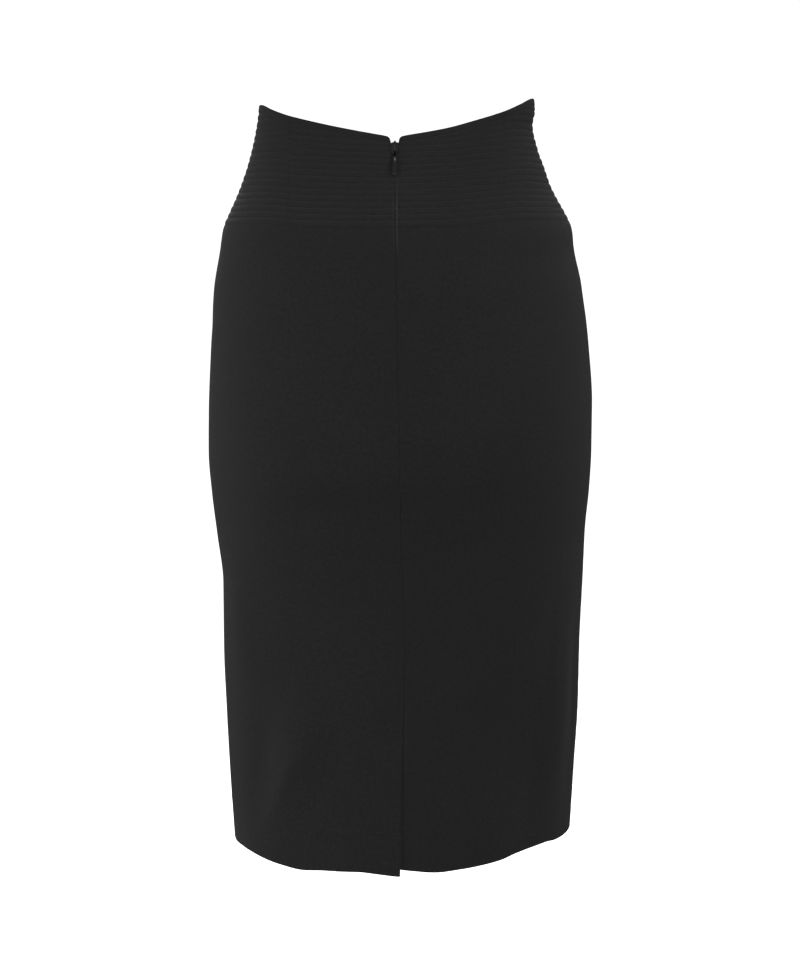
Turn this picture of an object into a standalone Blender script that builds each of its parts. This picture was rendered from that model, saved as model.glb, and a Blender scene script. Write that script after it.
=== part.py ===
"""A high-waisted pencil skirt, standing open as it does on a wearer.

Metres, +Z up. The garment's front faces -Y and its wearer's left is +X. The origin is the
middle of the waist opening, at the height where the wearer's waist holds the skirt.

Angles run round the skirt: 0 is the centre back, +90 the wearer's left side seam, 180 the
centre front and -90 the right side seam. Every panel is a closed wall of cloth on one form,
and the form is a stack of rounded sections, given in two short tables.
"""

import math
from collections import namedtuple
from functools import lru_cache

import bmesh
import bpy
from mathutils import Vector

# ---- Driving dimensions ----------------------------------------------------------------

WAIST_SEAM = -0.0575  # height of the seam between the ribbed yoke and the skirt
HEM = -0.630
HITCH = 0.012  # rise towards the wearer's right, for each metre across
SIDE_RISE = 0.0022  # how much higher both sides sit than the middle

SKIRT_WALL = 0.0014
HEM_WALL = 0.0026  # two layers, where the hem is turned up
HEM_DEPTH = 0.036
SEAM_GAP = 0.0003

RIB_PITCH = 0.00635  # a quarter of an inch between the stitched rows
RIB_RISE = 0.0007
YOKE_WALL = 0.0014  # at a stitched row
BORDER = 0.0060  # the unribbed edge above the last row
PANEL_SEAM = 0.092  # from the middle to the upright seams in the back of the yoke

VENT_TOP = -0.426
VENT_FLARE = 0.0020  # how far the upper flap's corner stands out at the hem
VENT_FLARE_REACH = 24.0  # degrees
VENT_DROP = 0.0031
VENT_DIP = 0.0010  # how far the lower flap's edge falls in
VENT_DIP_REACH = 15.0
VENT_RISE = 0.0026
UNDERLAP = (-0.06, 0.21)  # stations between which the underlap lies
UNDERLAP_ABOVE = 0.012  # its height over the top of the vent
UNDERLAP_SHORT = 0.004  # how much shorter than the hem it is
UNDERLAP_WALL = 0.0014
UNDERLAP_BEHIND = 0.0010  # from the back of the flaps to the underlap

ZIP_END = -0.190
ZIP_TOP = 0.0119
TAPE_WIDTH = 0.012
TAPE_WALL = 0.0010
TAPE_BEHIND = 0.0010  # from the back of the cloth to the tape
SLIDER_HEIGHT = 0.0083
PULL_LENGTH = 0.0275
PULL_LEAN = 5.0  # degrees by which the pull stands off the zip's slope at rest

# ---- The form: rounded sections --------------------------------------------------------
# left, right: half widths. back, front: depths. left_round and right_round: the power of
# each back quarter's outline, 2 for an ellipse. drift: how far the centre back seam has
# swung to the wearer's left. hollow: how far the centre back dips in at the waist.

COLUMNS = "height left right back front left_round right_round drift hollow"
Section = namedtuple("Section", COLUMNS, defaults=[0.0])

YOKE_SECTIONS = (
    Section(+0.050, 0.1228, 0.1210, 0.0705, 0.0880, 2.00, 2.00, +0.0027, 0.0055),
    Section(+0.036, 0.1248, 0.1222, 0.0789, 0.0894, 2.00, 2.00, +0.0027, 0.0058),
    Section(+0.024, 0.1266, 0.1204, 0.0860, 0.0905, 2.00, 2.00, +0.0027, 0.0060),
    Section(+0.000, 0.1320, 0.1257, 0.0993, 0.0920, 2.00, 2.00, +0.0026, 0.0044),
    Section(-0.014, 0.1362, 0.1310, 0.1072, 0.0938, 2.00, 2.00, +0.0026, 0.0031),
    Section(-0.030, 0.1419, 0.1366, 0.1166, 0.0965, 2.00, 2.00, +0.0025, 0.0018),
    Section(WAIST_SEAM, 0.1542, 0.1512, 0.1345, 0.1020, 2.00, 2.00, +0.0024, 0.0005),
)
SKIRT_SECTIONS = (
    Section(WAIST_SEAM, 0.1542, 0.1512, 0.1345, 0.1020, 2.00, 2.00, +0.0024, 0.0005),
    Section(-0.066, 0.1579, 0.1558, 0.1375, 0.1035, 2.00, 2.00, +0.0022),
    Section(-0.074, 0.1593, 0.1577, 0.1396, 0.1044, 2.00, 2.00, +0.0020),
    Section(-0.085, 0.1609, 0.1587, 0.1418, 0.1055, 2.00, 2.00, +0.0019),
    Section(-0.120, 0.1668, 0.1662, 0.1466, 0.1090, 2.03, 2.00, +0.0013),
    Section(-0.175, 0.1703, 0.1735, 0.1495, 0.1115, 2.05, 2.00, +0.0004),
    Section(-0.230, 0.1730, 0.1774, 0.1505, 0.1110, 2.05, 2.00, -0.0008),
    Section(-0.270, 0.1737, 0.1774, 0.1475, 0.1095, 2.05, 1.98, -0.0016),
    Section(-0.305, 0.1713, 0.1760, 0.1405, 0.1080, 2.07, 1.95, -0.0024),
    Section(-0.345, 0.1668, 0.1726, 0.1325, 0.1065, 2.10, 1.92, -0.0034),
    Section(-0.390, 0.1619, 0.1712, 0.1265, 0.1050, 2.12, 1.86, -0.0047),
    Section(-0.450, 0.1620, 0.1691, 0.1225, 0.1038, 2.15, 1.78, -0.0058),
    Section(-0.510, 0.1602, 0.1685, 0.1210, 0.1036, 2.17, 1.70, -0.0040),
    Section(-0.570, 0.1576, 0.1655, 0.1215, 0.1050, 2.20, 1.62, -0.0024),
    Section(HEM, 0.1540, 0.1625, 0.1235, 0.1080, 2.32, 1.57, -0.0012),
)
FRONT_ROUND = 2.1
HOLLOW_REACH = 10  # a greater power makes a narrower hollow

# The top edge dips at the back and the front, between a point over each side seam.
EdgePoint = namedtuple("EdgePoint", "angle left right")
TOP_EDGE = (
    EdgePoint(0.0, 0.0167, 0.0167),
    EdgePoint(20.0, 0.0242, 0.0229),
    EdgePoint(35.0, 0.0298, 0.0296),
    EdgePoint(50.0, 0.0351, 0.0361),
    EdgePoint(62.0, 0.0396, 0.0417),
    EdgePoint(75.0, 0.0437, 0.0463),
    EdgePoint(86.0, 0.0455, 0.0512),
    EdgePoint(90.0, 0.0456, 0.0520),
    EdgePoint(95.0, 0.0440, 0.0490),
    EdgePoint(130.0, 0.0200, 0.0215),
    EdgePoint(158.0, 0.0070, 0.0070),
    EdgePoint(180.0, 0.0052, 0.0052),
)

# The waist seam isn't level: it hangs in the middle of the back and at the sides. The
# ribs hang a little more than it does, so their pitch changes round the yoke.
YokeLine = namedtuple("YokeLine", "angle left right pitch")  # pitch: of the full one
YOKE_LINES = (
    YokeLine(0.0, 0.0016, 0.0016, 0.980),
    YokeLine(17.0, 0.0017, 0.0017, 0.990),
    YokeLine(30.0, 0.0017, 0.0000, 1.004),
    YokeLine(43.0, 0.0004, -0.0011, 1.008),
    YokeLine(55.0, 0.0010, 0.0000, 0.990),
    YokeLine(75.0, 0.0033, 0.0026, 0.962),
    YokeLine(90.0, 0.0044, 0.0038, 0.954),
    YokeLine(130.0, 0.0015, 0.0012, 0.975),
    YokeLine(180.0, 0.0000, 0.0000, 1.000),
)
SEAM_EASE = 0.050  # below the waist seam, the skirt's rows grow level over this height

# How far the hem hangs below level: the cloth sinks and lifts in shallow waves round it.
HemPoint = namedtuple("HemPoint", "angle left right")
HEM_LINE = (
    HemPoint(0.0, 0.0000, 0.0000),
    HemPoint(5.0, -0.0018, 0.0004),
    HemPoint(9.5, -0.0025, 0.0006),
    HemPoint(14.0, -0.0015, 0.0014),
    HemPoint(18.0, -0.0004, 0.0021),
    HemPoint(24.0, 0.0006, 0.0013),
    HemPoint(32.0, 0.0024, 0.0006),
    HemPoint(39.0, 0.0013, 0.0005),
    HemPoint(46.0, 0.0002, -0.0011),
    HemPoint(53.0, -0.0010, -0.0014),
    HemPoint(60.0, -0.0019, -0.0012),
    HemPoint(67.0, -0.0022, 0.0011),
    HemPoint(75.0, -0.0010, 0.0016),
    HemPoint(90.0, 0.0000, 0.0000),
    HemPoint(120.0, 0.0010, -0.0009),
    HemPoint(150.0, -0.0012, 0.0011),
    HemPoint(180.0, 0.0000, 0.0000),
)
HEM_EASE = 0.100  # over this height above the hem, the waves grow

# Soft ridges (+) and troughs (-) of the hanging cloth. lean: degrees of turn for each
# metre down. The reaches are where the swell has fallen to about a third.

Fold = namedtuple("Fold", "angle height reach_angle reach_height lean depth")

FOLDS = (
    Fold(+34.0, -0.520, 9.0, 0.070, +95.0, +0.0040),
    Fold(+50.0, -0.545, 8.0, 0.045, +60.0, -0.0030),
    Fold(+62.0, -0.420, 10.0, 0.050, -40.0, +0.0030),
    Fold(-31.0, HEM, 13.0, 0.080, +0.0, +0.0060),
    Fold(-42.0, -0.530, 11.0, 0.050, +25.0, -0.0045),
    Fold(-63.0, -0.505, 6.5, 0.085, +8.0, +0.0035),
    Fold(-76.0, -0.495, 6.0, 0.080, -5.0, -0.0025),
    Fold(+18.0, -0.305, 22.0, 0.022, +0.0, -0.0022),
    Fold(+132.0, -0.470, 9.0, 0.130, -12.0, -0.0040),
    Fold(+160.0, -0.520, 10.0, 0.120, +10.0, +0.0035),
    Fold(-150.0, -0.460, 10.0, 0.120, +14.0, -0.0040),
    Fold(-122.0, -0.500, 9.0, 0.110, -10.0, +0.0030),
)
FOLD_FADE = 0.040  # below the yoke's seam, the folds grow over this height

# Half the opening between the back edges of the yoke, against the depth below its top.
Opening = namedtuple("Opening", "depth half_gap")
ZIP_OPENING = (
    Opening(0.0000, 0.0060),
    Opening(0.0013, 0.0044),
    Opening(0.0030, 0.0038),
    Opening(0.0070, 0.0032),
    Opening(0.0150, 0.0027),
    Opening(0.0163, 0.0015),
    Opening(0.0180, 0.0007),
    Opening(0.0220, SEAM_GAP / 2),
)


@lru_cache(maxsize=None)
def curve_through(rows, column):
    """Heights, values and slopes of a smooth curve through one column, with no overshoot."""
    rows = sorted(rows)
    at = [row[0] for row in rows]
    value = [getattr(row, column) for row in rows]
    rise = [(v1 - v0) / (a1 - a0) for a0, a1, v0, v1 in zip(at, at[1:], value, value[1:])]
    slope = [rise[0]]
    for before, after in zip(rise, rise[1:]):
        level = before * after <= 0
        slope.append(0.0 if level else 2 * before * after / (before + after))
    slope.append(rise[-1])
    return at, value, slope


def read(rows, column, where):
    """The value of a named column at a height or depth."""
    at, value, slope = curve_through(rows, column)
    where = min(max(where, at[0]), at[-1])
    i = max(k for k in range(len(at) - 1) if at[k] <= where)
    step = at[i + 1] - at[i]
    t = (where - at[i]) / step
    return (
        value[i] * (1 + 2 * t) * (1 - t) ** 2
        + slope[i] * step * t * (1 - t) ** 2
        + value[i + 1] * t * t * (3 - 2 * t)
        + slope[i + 1] * step * t * t * (t - 1)
    )


def ease(t):
    """0 to 1, smoothly, as t runs from 0 to 1."""
    t = min(max(t, 0.0), 1.0)
    return t * t * (3 - 2 * t)


def top_height(angle):
    turn = (angle + 180) % 360 - 180
    return read(TOP_EDGE, "left" if turn >= 0 else "right", abs(turn))


def waist_seam(angle):
    """Height of the seam between the yoke and the skirt."""
    turn = (angle + 180) % 360 - 180
    return WAIST_SEAM - read(YOKE_LINES, "left" if turn >= 0 else "right", abs(turn))


def hem_fall(angle):
    """How far the hem hangs below level."""
    turn = (angle + 180) % 360 - 180
    return read(HEM_LINE, "left" if turn >= 0 else "right", abs(turn))


def rib_pitch(angle):
    turn = (angle + 180) % 360 - 180
    return RIB_PITCH * read(YOKE_LINES, "pitch", abs(turn))


def power(value, exponent):
    return math.copysign(abs(value) ** exponent, value)


def plain_form(angle, height):
    """A point of the rounded sections."""
    rows = YOKE_SECTIONS if height > WAIST_SEAM else SKIRT_SECTIONS
    turn = math.radians(angle)
    across, along = math.sin(turn), math.cos(turn)
    on_left, at_back = across >= 0, along >= 0
    half_width = read(rows, "left" if on_left else "right", height)
    depth = read(rows, "back" if at_back else "front", height)
    roundness = read(rows, "left_round" if on_left else "right_round", height)
    if not at_back:
        roundness = FRONT_ROUND
    x = half_width * power(across, 2 / roundness)
    y = depth * power(along, 2 / roundness)
    if at_back:
        x += read(rows, "drift", height) * along**2
        y -= read(rows, "hollow", height) * along**HOLLOW_REACH
    return Vector((x, y, height))


ANGLE_STEP, HEIGHT_STEP = 1.0, 0.002


def outward(angle, height):
    """The unit vector straight out of the form, mitred where the yoke meets the skirt."""
    up = plain_form(angle, height + HEIGHT_STEP) - plain_form(angle, height - HEIGHT_STEP)
    along = plain_form(angle + ANGLE_STEP, height) - plain_form(angle - ANGLE_STEP, height)
    return up.cross(along).normalized()


def bulge(fold, angle, height):
    """How far one fold moves the cloth outwards."""
    turn = (angle - fold.angle + 180) % 360 - 180 + fold.lean * (height - fold.height)
    aside, along = turn / fold.reach_angle, (height - fold.height) / fold.reach_height
    return fold.depth * math.exp(-aside * aside - along * along)


def swell(angle, height):
    """How far all the folds move the cloth outwards."""
    grown = ease((WAIST_SEAM - height) / FOLD_FADE)
    return grown * sum(bulge(fold, angle, height) for fold in FOLDS) if grown else 0.0


def vent_share(height):
    """0 at the top of the vent, 1 at the hem."""
    return ease((VENT_TOP - height) / (VENT_TOP - HEM))


def left_flap(angle, height):
    """(outward, downward) move of the upper flap, beside the vent."""
    near = ease(1 - abs(angle) / VENT_FLARE_REACH) * vent_share(height)
    return VENT_FLARE * near, VENT_DROP * near * vent_share(height)


def right_flap(angle, height):
    """The same for the lower flap, which falls in."""
    near = ease(1 - abs(angle) / VENT_DIP_REACH) * vent_share(height)
    return -VENT_DIP * near, -VENT_RISE * near * vent_share(height)


def underlap_fall(angle, height):
    """The layer behind the vent moves with the lower flap."""
    return right_flap(min(angle, 0.0), height)


def no_flap(_angle, _height):
    return 0.0, 0.0


def cloth(angle, height, out=0.0, flap=no_flap):
    """A point of the worn cloth, moved out from its face (in, where out is below 0)."""
    stands, drops = flap(angle, height)
    point = plain_form(angle, height)
    point += outward(angle, height) * (swell(angle, height) + stands + out)
    point.z -= drops
    return point


def sideways(angle, height):
    """The level unit vector along the cloth, towards greater angles."""
    step = plain_form(angle + ANGLE_STEP, height) - plain_form(angle - ANGLE_STEP, height)
    step.z = 0.0
    return step.normalized()


def worn(point):
    """The skirt sits a little higher at the sides, and most at the wearer's right."""
    aside = point.x / SKIRT_SECTIONS[0].left
    return Vector((point.x, point.y, point.z - HITCH * point.x + SIDE_RISE * aside * aside))


# ---- Walls -----------------------------------------------------------------------------

Knot = namedtuple("Knot", "row height vert")  # row: which knots of two columns face


def lace(bm, first, second, key):
    """Faces between two columns of knots, which may differ in number."""
    i = j = 0
    while i + 1 < len(first) or j + 1 < len(second):
        next_i = getattr(first[i + 1], key) if i + 1 < len(first) else math.inf
        next_j = getattr(second[j + 1], key) if j + 1 < len(second) else math.inf
        corners = [first[i].vert]
        level = math.isclose(next_i, next_j, abs_tol=1e-7)
        step_i, step_j = level or next_i < next_j, level or next_j < next_i
        if step_i:
            corners.append(first[i + 1].vert)
        if step_j:
            corners.append(second[j + 1].vert)
        corners.append(second[j].vert)
        bm.faces.new(corners)
        i, j = i + step_i, j + step_j


def close_wall(bm, outer, inner):
    """A closed wall from columns of knots on its two faces."""
    for face in (outer, inner):
        for first, second in zip(face, face[1:]):
            lace(bm, first, second, "row")
    for out_pair, in_pair in zip(zip(outer, outer[1:]), zip(inner, inner[1:])):
        for end in (0, -1):
            corners = (out_pair[0][end], out_pair[1][end], in_pair[1][end], in_pair[0][end])
            bm.faces.new([knot.vert for knot in corners])
    for side in (0, -1):
        lace(bm, outer[side], inner[side], "height")


def add_object(name, bm, material, smooth_below=40.0):
    """Makes the mesh an object of the scene."""
    bmesh.ops.recalc_face_normals(bm, faces=bm.faces)
    mesh = bpy.data.meshes.new(name)
    bm.to_mesh(mesh)
    bm.free()
    mesh.materials.append(material)
    mesh.shade_smooth()
    mesh.set_sharp_from_angle(angle=math.radians(smooth_below))
    thing = bpy.data.objects.new(name, mesh)
    bpy.context.scene.collection.objects.link(thing)
    return thing


def stations_between(first, last, count):
    """Stations run round the skirt as angles do, in right angles: 1 is the left side seam."""
    return [first + (last - first) * k / count for k in range(count + 1)]


def mirrored(stations):
    return [-station for station in reversed(stations)]


SEAM_STATION = 0.43  # where the upright seams of the yoke lie
BACK_COLUMNS = stations_between(0.0, SEAM_STATION, 6)
SIDE_COLUMNS = stations_between(SEAM_STATION, 1.0, 8)
FRONT_COLUMNS = stations_between(1.0, 3.0, 26)


def angle_at(station, height):
    """The angle of a station, whose lines lean so that the yoke's seams stand upright."""
    if abs(station) >= 1:
        return station * 90.0
    side = "left" if station > 0 else "right"
    rows = YOKE_SECTIONS if height > WAIST_SEAM else SKIRT_SECTIONS
    seam = math.degrees(math.asin(PANEL_SEAM / read(rows, side, max(height, WAIST_SEAM))))
    if abs(station) <= SEAM_STATION:
        return seam * station / SEAM_STATION
    beyond = (abs(station) - SEAM_STATION) / (1 - SEAM_STATION)
    return math.copysign(seam + (90.0 - seam) * beyond, station)


def edge_shift(station, height, stations, gap):
    """Moves a panel's end columns in from its seams, by the gap at that seam."""
    if station not in (stations[0], stations[-1]):
        return Vector()
    inward = 1 if station == stations[0] else -1
    return sideways(angle_at(station, height), height) * inward * gap(station, height)


def seam_gap(_station, _height):
    return SEAM_GAP / 2


# ---- The ribbed yoke -------------------------------------------------------------------

ARC_STEP = 0.001
RIB_ROWS = ((0.0, 0.0), (0.3, 1.0), (0.7, 1.0))  # part of the pitch, part of the rise
BORDER_ROWS = ((BORDER, 0.75), (0.0010, 0.75), (0.0, 0.35))  # below the edge, of the rise
BORDER_ROW = 1000  # row numbers of the border, past those of any rib
END_RISE = 0.45  # the ribs are pressed flatter where they run into a seam
YOKE_INSIDE_ROWS = 8
LEAST_ROW = 0.0008


def climb(station):
    """(length of cloth above the yoke's seam, height) up one line of the yoke."""
    seam = waist_seam(angle_at(station, WAIST_SEAM))
    steps, length = [(0.0, seam + SEAM_GAP / 2)], 0.0
    height, top = steps[0][1], math.inf
    below = cloth(angle_at(station, height), height)
    while height < top:
        height += ARC_STEP
        angle = angle_at(station, height)
        top = top_height(angle)
        height = min(height, top)
        point = cloth(angle, height)
        length += (point - below).length
        below = point
        steps.append((length, height))
    return steps


def height_at(steps, length):
    """The height where that much cloth lies below."""
    for (l0, h0), (l1, h1) in zip(steps, steps[1:]):
        if length <= l1:
            return h0 + (h1 - h0) * max(length - l0, 0.0) / (l1 - l0)
    return steps[-1][1]


def rib_profile(whole, pitch):
    """(row, length, part of the rise) of each knot up a column with that much cloth."""
    rows, rib = [], 0
    while rib * pitch < whole:
        for k, (part, rise) in enumerate(RIB_ROWS):
            length = (rib + part) * pitch
            if length < whole - BORDER - LEAST_ROW:
                rows.append((rib * len(RIB_ROWS) + k, length, rise))
        rib += 1
    for k, (below, rise) in enumerate(BORDER_ROWS):
        rows.append((BORDER_ROW + k, whole - below, rise))
    return rows


def zip_gap(station, height):
    """Half the gap at a yoke panel's edge: the zip's opening at the back, else a seam."""
    if station:
        return SEAM_GAP / 2
    return read(ZIP_OPENING, "half_gap", top_height(0.0) - height)


def yoke_panel(name, stations, material):
    bm = bmesh.new()

    def knot(station, row, height, out):
        point = cloth(angle_at(station, height), height, out)
        point += edge_shift(station, height, stations, zip_gap)
        return Knot(row, height, bm.verts.new(worn(point)))

    outer, inner = [], []
    for station in stations:
        steps = climb(station)
        whole = steps[-1][0]
        rise = RIB_RISE * (END_RISE if station in (stations[0], stations[-1]) else 1.0)
        column = []
        for row, length, part in rib_profile(whole, rib_pitch(angle_at(station, WAIST_SEAM))):
            column.append(knot(station, row, height_at(steps, length), rise * part))
        outer.append(column)
        column = []
        for row in range(YOKE_INSIDE_ROWS + 1):
            height = height_at(steps, whole * row / YOKE_INSIDE_ROWS)
            column.append(knot(station, row, height, -YOKE_WALL))
        inner.append(column)
    close_wall(bm, outer, inner)
    return add_object(name, bm, material, smooth_below=60.0)


# ---- The skirt's panels ----------------------------------------------------------------

SKIRT_ROWS = 23
TURN_STEP = 0.0015  # height over which the turned-up hem ends


def skirt_heights():
    """Row heights from the hem to the yoke's seam, with two at the top of the turned hem."""
    turned = HEM + HEM_DEPTH
    top = WAIST_SEAM - SEAM_GAP / 2
    above = [turned + (top - turned) * k / (SKIRT_ROWS - 2) for k in range(1, SKIRT_ROWS - 1)]
    return [HEM, HEM + HEM_DEPTH / 2, turned - TURN_STEP, turned, *above]


def hung(station, level):
    """A row's height at one station: it follows the waist seam above it and the hem below."""
    angle = angle_at(station, WAIST_SEAM)
    near_seam = ease((level - WAIST_SEAM + SEAM_EASE) / SEAM_EASE)
    near_hem = ease((HEM + HEM_EASE - level) / HEM_EASE)
    return level + near_seam * (waist_seam(angle) - WAIST_SEAM) - near_hem * hem_fall(angle)


def wall_at(level):
    """Thickness of the skirt's cloth: two layers where the hem is turned up."""
    return HEM_WALL if level < HEM + HEM_DEPTH - TURN_STEP / 2 else SKIRT_WALL


def plain_wall(name, stations, levels, face, thickness, material, gap=seam_gap):
    """A wall with the same rows on both faces. face gives a point of a row, that far out."""
    bm = bmesh.new()
    sides = []
    for inside in (False, True):
        columns = []
        for station in stations:
            column = []
            for row, level in enumerate(levels):
                height = hung(station, level)
                out = -thickness(level) if inside else 0.0
                point = face(angle_at(station, height), height, level, out)
                point += edge_shift(station, height, stations, gap)
                column.append(Knot(row, height, bm.verts.new(worn(point))))
            columns.append(column)
        sides.append(columns)
    close_wall(bm, *sides)
    return add_object(name, bm, material)


def skirt_panel(name, stations, flap, material):
    def face(angle, height, _level, out):
        return cloth(angle, height, out, flap)

    return plain_wall(name, stations, skirt_heights(), face, wall_at, material)


UNDERLAP_ROWS, UNDERLAP_COLUMNS = 9, 5


def vent_underlap(material):
    """The layer behind the vent, from under the lower flap to under the upper one."""

    def face(angle, height, level, out):
        behind = wall_at(level) + UNDERLAP_BEHIND
        return cloth(angle, height, out - behind, underlap_fall)

    low, high = HEM + UNDERLAP_SHORT, VENT_TOP + UNDERLAP_ABOVE
    turned = HEM + HEM_DEPTH
    above = [turned + (high - turned) * k / (UNDERLAP_ROWS - 3) for k in range(1, UNDERLAP_ROWS - 2)]
    levels = [low, turned - TURN_STEP, turned, *above]
    stations = stations_between(*UNDERLAP, UNDERLAP_COLUMNS)
    return plain_wall("vent_underlap", stations, levels, face, lambda _level: UNDERLAP_WALL, material)


# ---- The zip ---------------------------------------------------------------------------

TAPE_ROWS = 22
TAPE_COLUMNS = 2
TAPE_OPENING = (
    Opening(0.000, 0.0030),
    Opening(0.003, 0.0019),
    Opening(0.011, 0.0017),
    Opening(0.018, SEAM_GAP / 2),
)


def zip_tape(name, side, material):
    """One half of the zip's tape, behind the back edge. side is +1 on the wearer's left."""
    bm = bmesh.new()
    sides = []
    for depth in (YOKE_WALL + TAPE_BEHIND, YOKE_WALL + TAPE_BEHIND + TAPE_WALL):
        columns = []
        for k in range(TAPE_COLUMNS + 1):
            column = []
            for row in range(TAPE_ROWS + 1):
                height = ZIP_END + (ZIP_TOP - ZIP_END) * (row / TAPE_ROWS)
                gap = read(TAPE_OPENING, "half_gap", ZIP_TOP - height)
                across = gap + (TAPE_WIDTH - gap) * k / TAPE_COLUMNS
                angle = side * math.degrees(across / read(all_sections(), "left", height))
                point = cloth(angle, height, -depth)
                column.append(Knot(row, height, bm.verts.new(worn(point))))
            columns.append(column)
        sides.append(columns)
    close_wall(bm, *sides)
    return add_object(name, bm, material)


@lru_cache(maxsize=None)
def all_sections():
    return YOKE_SECTIONS[:-1] + SKIRT_SECTIONS


def zip_slope(height):
    """Degrees by which the back leans in, as it rises, at the zip."""
    out = outward(0.0, height)
    return math.degrees(math.atan2(out.z, out.y))


def prism(name, outline, low, high, axis, material=None):
    """A straight prism from an outline. axis is the letter of the way it is extruded."""
    bm = bmesh.new()
    order = {"x": lambda u, v, w: (w, u, v), "y": lambda u, v, w: (u, w, v)}[axis]
    verts = [bm.verts.new(order(u, v, low)) for u, v in outline]
    face = bm.faces.new(verts)
    grown = bmesh.ops.extrude_face_region(bm, geom=[face])["geom"]
    move = Vector(order(0.0, 0.0, high - low))
    bmesh.ops.translate(bm, verts=[v for v in grown if isinstance(v, bmesh.types.BMVert)], vec=move)
    return add_object(name, bm, material or bpy.data.materials["helper"])


def combine(thing, others, operation):
    """Joins other shapes to an object, or cuts them from it, and hides them."""
    for other in others:
        other.hide_render = True
        other.display_type = "WIRE"
        other.parent = thing
        modifier = thing.modifiers.new(other.name, "BOOLEAN")
        modifier.object = other
        modifier.operation = operation


def tapered(half_top, half_bottom, low, high, corner):
    """A tapered outline with its four corners cut."""
    points = []
    for side_x, z, half, inward in (
        (+1, low, half_bottom, +1),
        (+1, high, half_top, -1),
        (-1, high, half_top, -1),
        (-1, low, half_bottom, +1),
    ):
        cut_side = (side_x * half, z + inward * corner)
        cut_end = (side_x * (half - corner), z)
        points += [cut_end, cut_side] if side_x * inward > 0 else [cut_side, cut_end]
    return points


# The slider, in its own axes: y out of the cloth, z up the zip.
PLATE = {"half_top": 0.0029, "half_bottom": 0.0022, "low": -0.0060, "high": 0.0045, "corner": 0.0010}
PLATE_FACES = (-0.0013, -0.0001)
NECK_HALF, NECK_LENGTH = 0.0012, 0.0034
BODY = {"half_top": 0.0034, "half_bottom": 0.0029, "low": -0.0050, "high": 0.0050, "corner": 0.0009}
BODY_FACES = (-0.0054, -0.0038)
BRIDGE_HALF = 0.00055  # half its width
BRIDGE_FOOT, BRIDGE_SHOULDER, BRIDGE_BAR = 0.0040, 0.0028, 0.0008
BRIDGE_LOWER = 0.0015  # how much longer its lower leg reaches
BRIDGE_UNDER = 0.0019
PIN_OUT = 0.00085  # the pull's bar, out from the plate's level
PIN_DOWN = 0.0036  # it hangs at the lower end of the bridge


def slider(material, at, slope):
    """Front plate, neck, hidden body, and the bridge that the pull hangs from."""
    thing = prism("zip_slider", tapered(**PLATE), *PLATE_FACES, "y", material)
    neck_outline = tapered(NECK_HALF, NECK_HALF, -NECK_LENGTH, NECK_LENGTH, NECK_HALF / 3)
    middle = (PLATE_FACES[0] + PLATE_FACES[1]) / 2
    body_middle = (BODY_FACES[0] + BODY_FACES[1]) / 2
    neck = prism("slider_neck", neck_outline, body_middle, middle, "y")
    body = prism("slider_body", tapered(**BODY), *BODY_FACES, "y")
    top = BRIDGE_UNDER + BRIDGE_BAR
    foot, shoulder = BRIDGE_FOOT + BRIDGE_LOWER, BRIDGE_SHOULDER + BRIDGE_LOWER
    arch = [
        (middle, BRIDGE_FOOT),
        (BRIDGE_UNDER, BRIDGE_FOOT),
        (top, BRIDGE_SHOULDER),
        (top, -shoulder),
        (BRIDGE_UNDER, -foot),
        (middle, -foot),
        (middle, -foot + BRIDGE_BAR),
        (BRIDGE_UNDER - BRIDGE_BAR / 2, -foot + BRIDGE_BAR),
        (BRIDGE_UNDER, -shoulder + BRIDGE_BAR / 2),
        (BRIDGE_UNDER, BRIDGE_SHOULDER - BRIDGE_BAR / 2),
        (BRIDGE_UNDER - BRIDGE_BAR / 2, BRIDGE_FOOT - BRIDGE_BAR),
        (middle, BRIDGE_FOOT - BRIDGE_BAR),
    ]
    bridge = prism("slider_bridge", arch, -BRIDGE_HALF, BRIDGE_HALF, "x")
    combine(thing, [neck, body, bridge], "UNION")
    thing.location = at
    thing.rotation_euler = (math.radians(slope), 0.0, 0.0)
    return thing


# Half widths down the pull, from its bar to its rounded tip.
PullRow = namedtuple("PullRow", "down half")
PULL_ROWS = (
    PullRow(-0.0005, 0.0012),
    PullRow(0.0000, 0.0017),
    PullRow(0.0060, 0.0018),
    PullRow(0.0100, 0.0015),
    PullRow(0.0145, 0.0015),
    PullRow(0.0200, 0.0022),
    PullRow(0.0238, 0.0025),
    PullRow(0.0262, 0.0019),
    PullRow(PULL_LENGTH - 0.0005, 0.0009),
)
WINDOW_ROWS = (PullRow(0.0005, 0.0008), PullRow(0.0062, 0.0009), PullRow(0.0082, 0.0004))
PULL_THICK = 0.0010


def mirrored_outline(rows):
    right = [(row.half, -row.down) for row in rows]
    return right + [(-x, z) for x, z in reversed(right)]


def pull(material, at, turn):
    """The hanging tab, with its window and the bar that lies under the bridge."""
    half = PULL_THICK / 2
    thing = prism("zip_pull", mirrored_outline(PULL_ROWS), -half, half, "y", material)
    window = prism("pull_window", mirrored_outline(WINDOW_ROWS), -2 * half, 2 * half, "y")
    combine(thing, [window], "DIFFERENCE")
    thing.location = at
    thing.rotation_euler = (math.radians(turn), 0.0, 0.0)
    return thing


# ---- Materials and assembly ------------------------------------------------------------


def make_material(name, colour, roughness, metallic=0.0):
    material = bpy.data.materials.new(name)
    material.use_nodes = True
    shader = material.node_tree.nodes["Principled BSDF"]
    shader.inputs["Base Color"].default_value = (*colour, 1.0)
    shader.inputs["Roughness"].default_value = roughness
    shader.inputs["Metallic"].default_value = metallic
    return material


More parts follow.
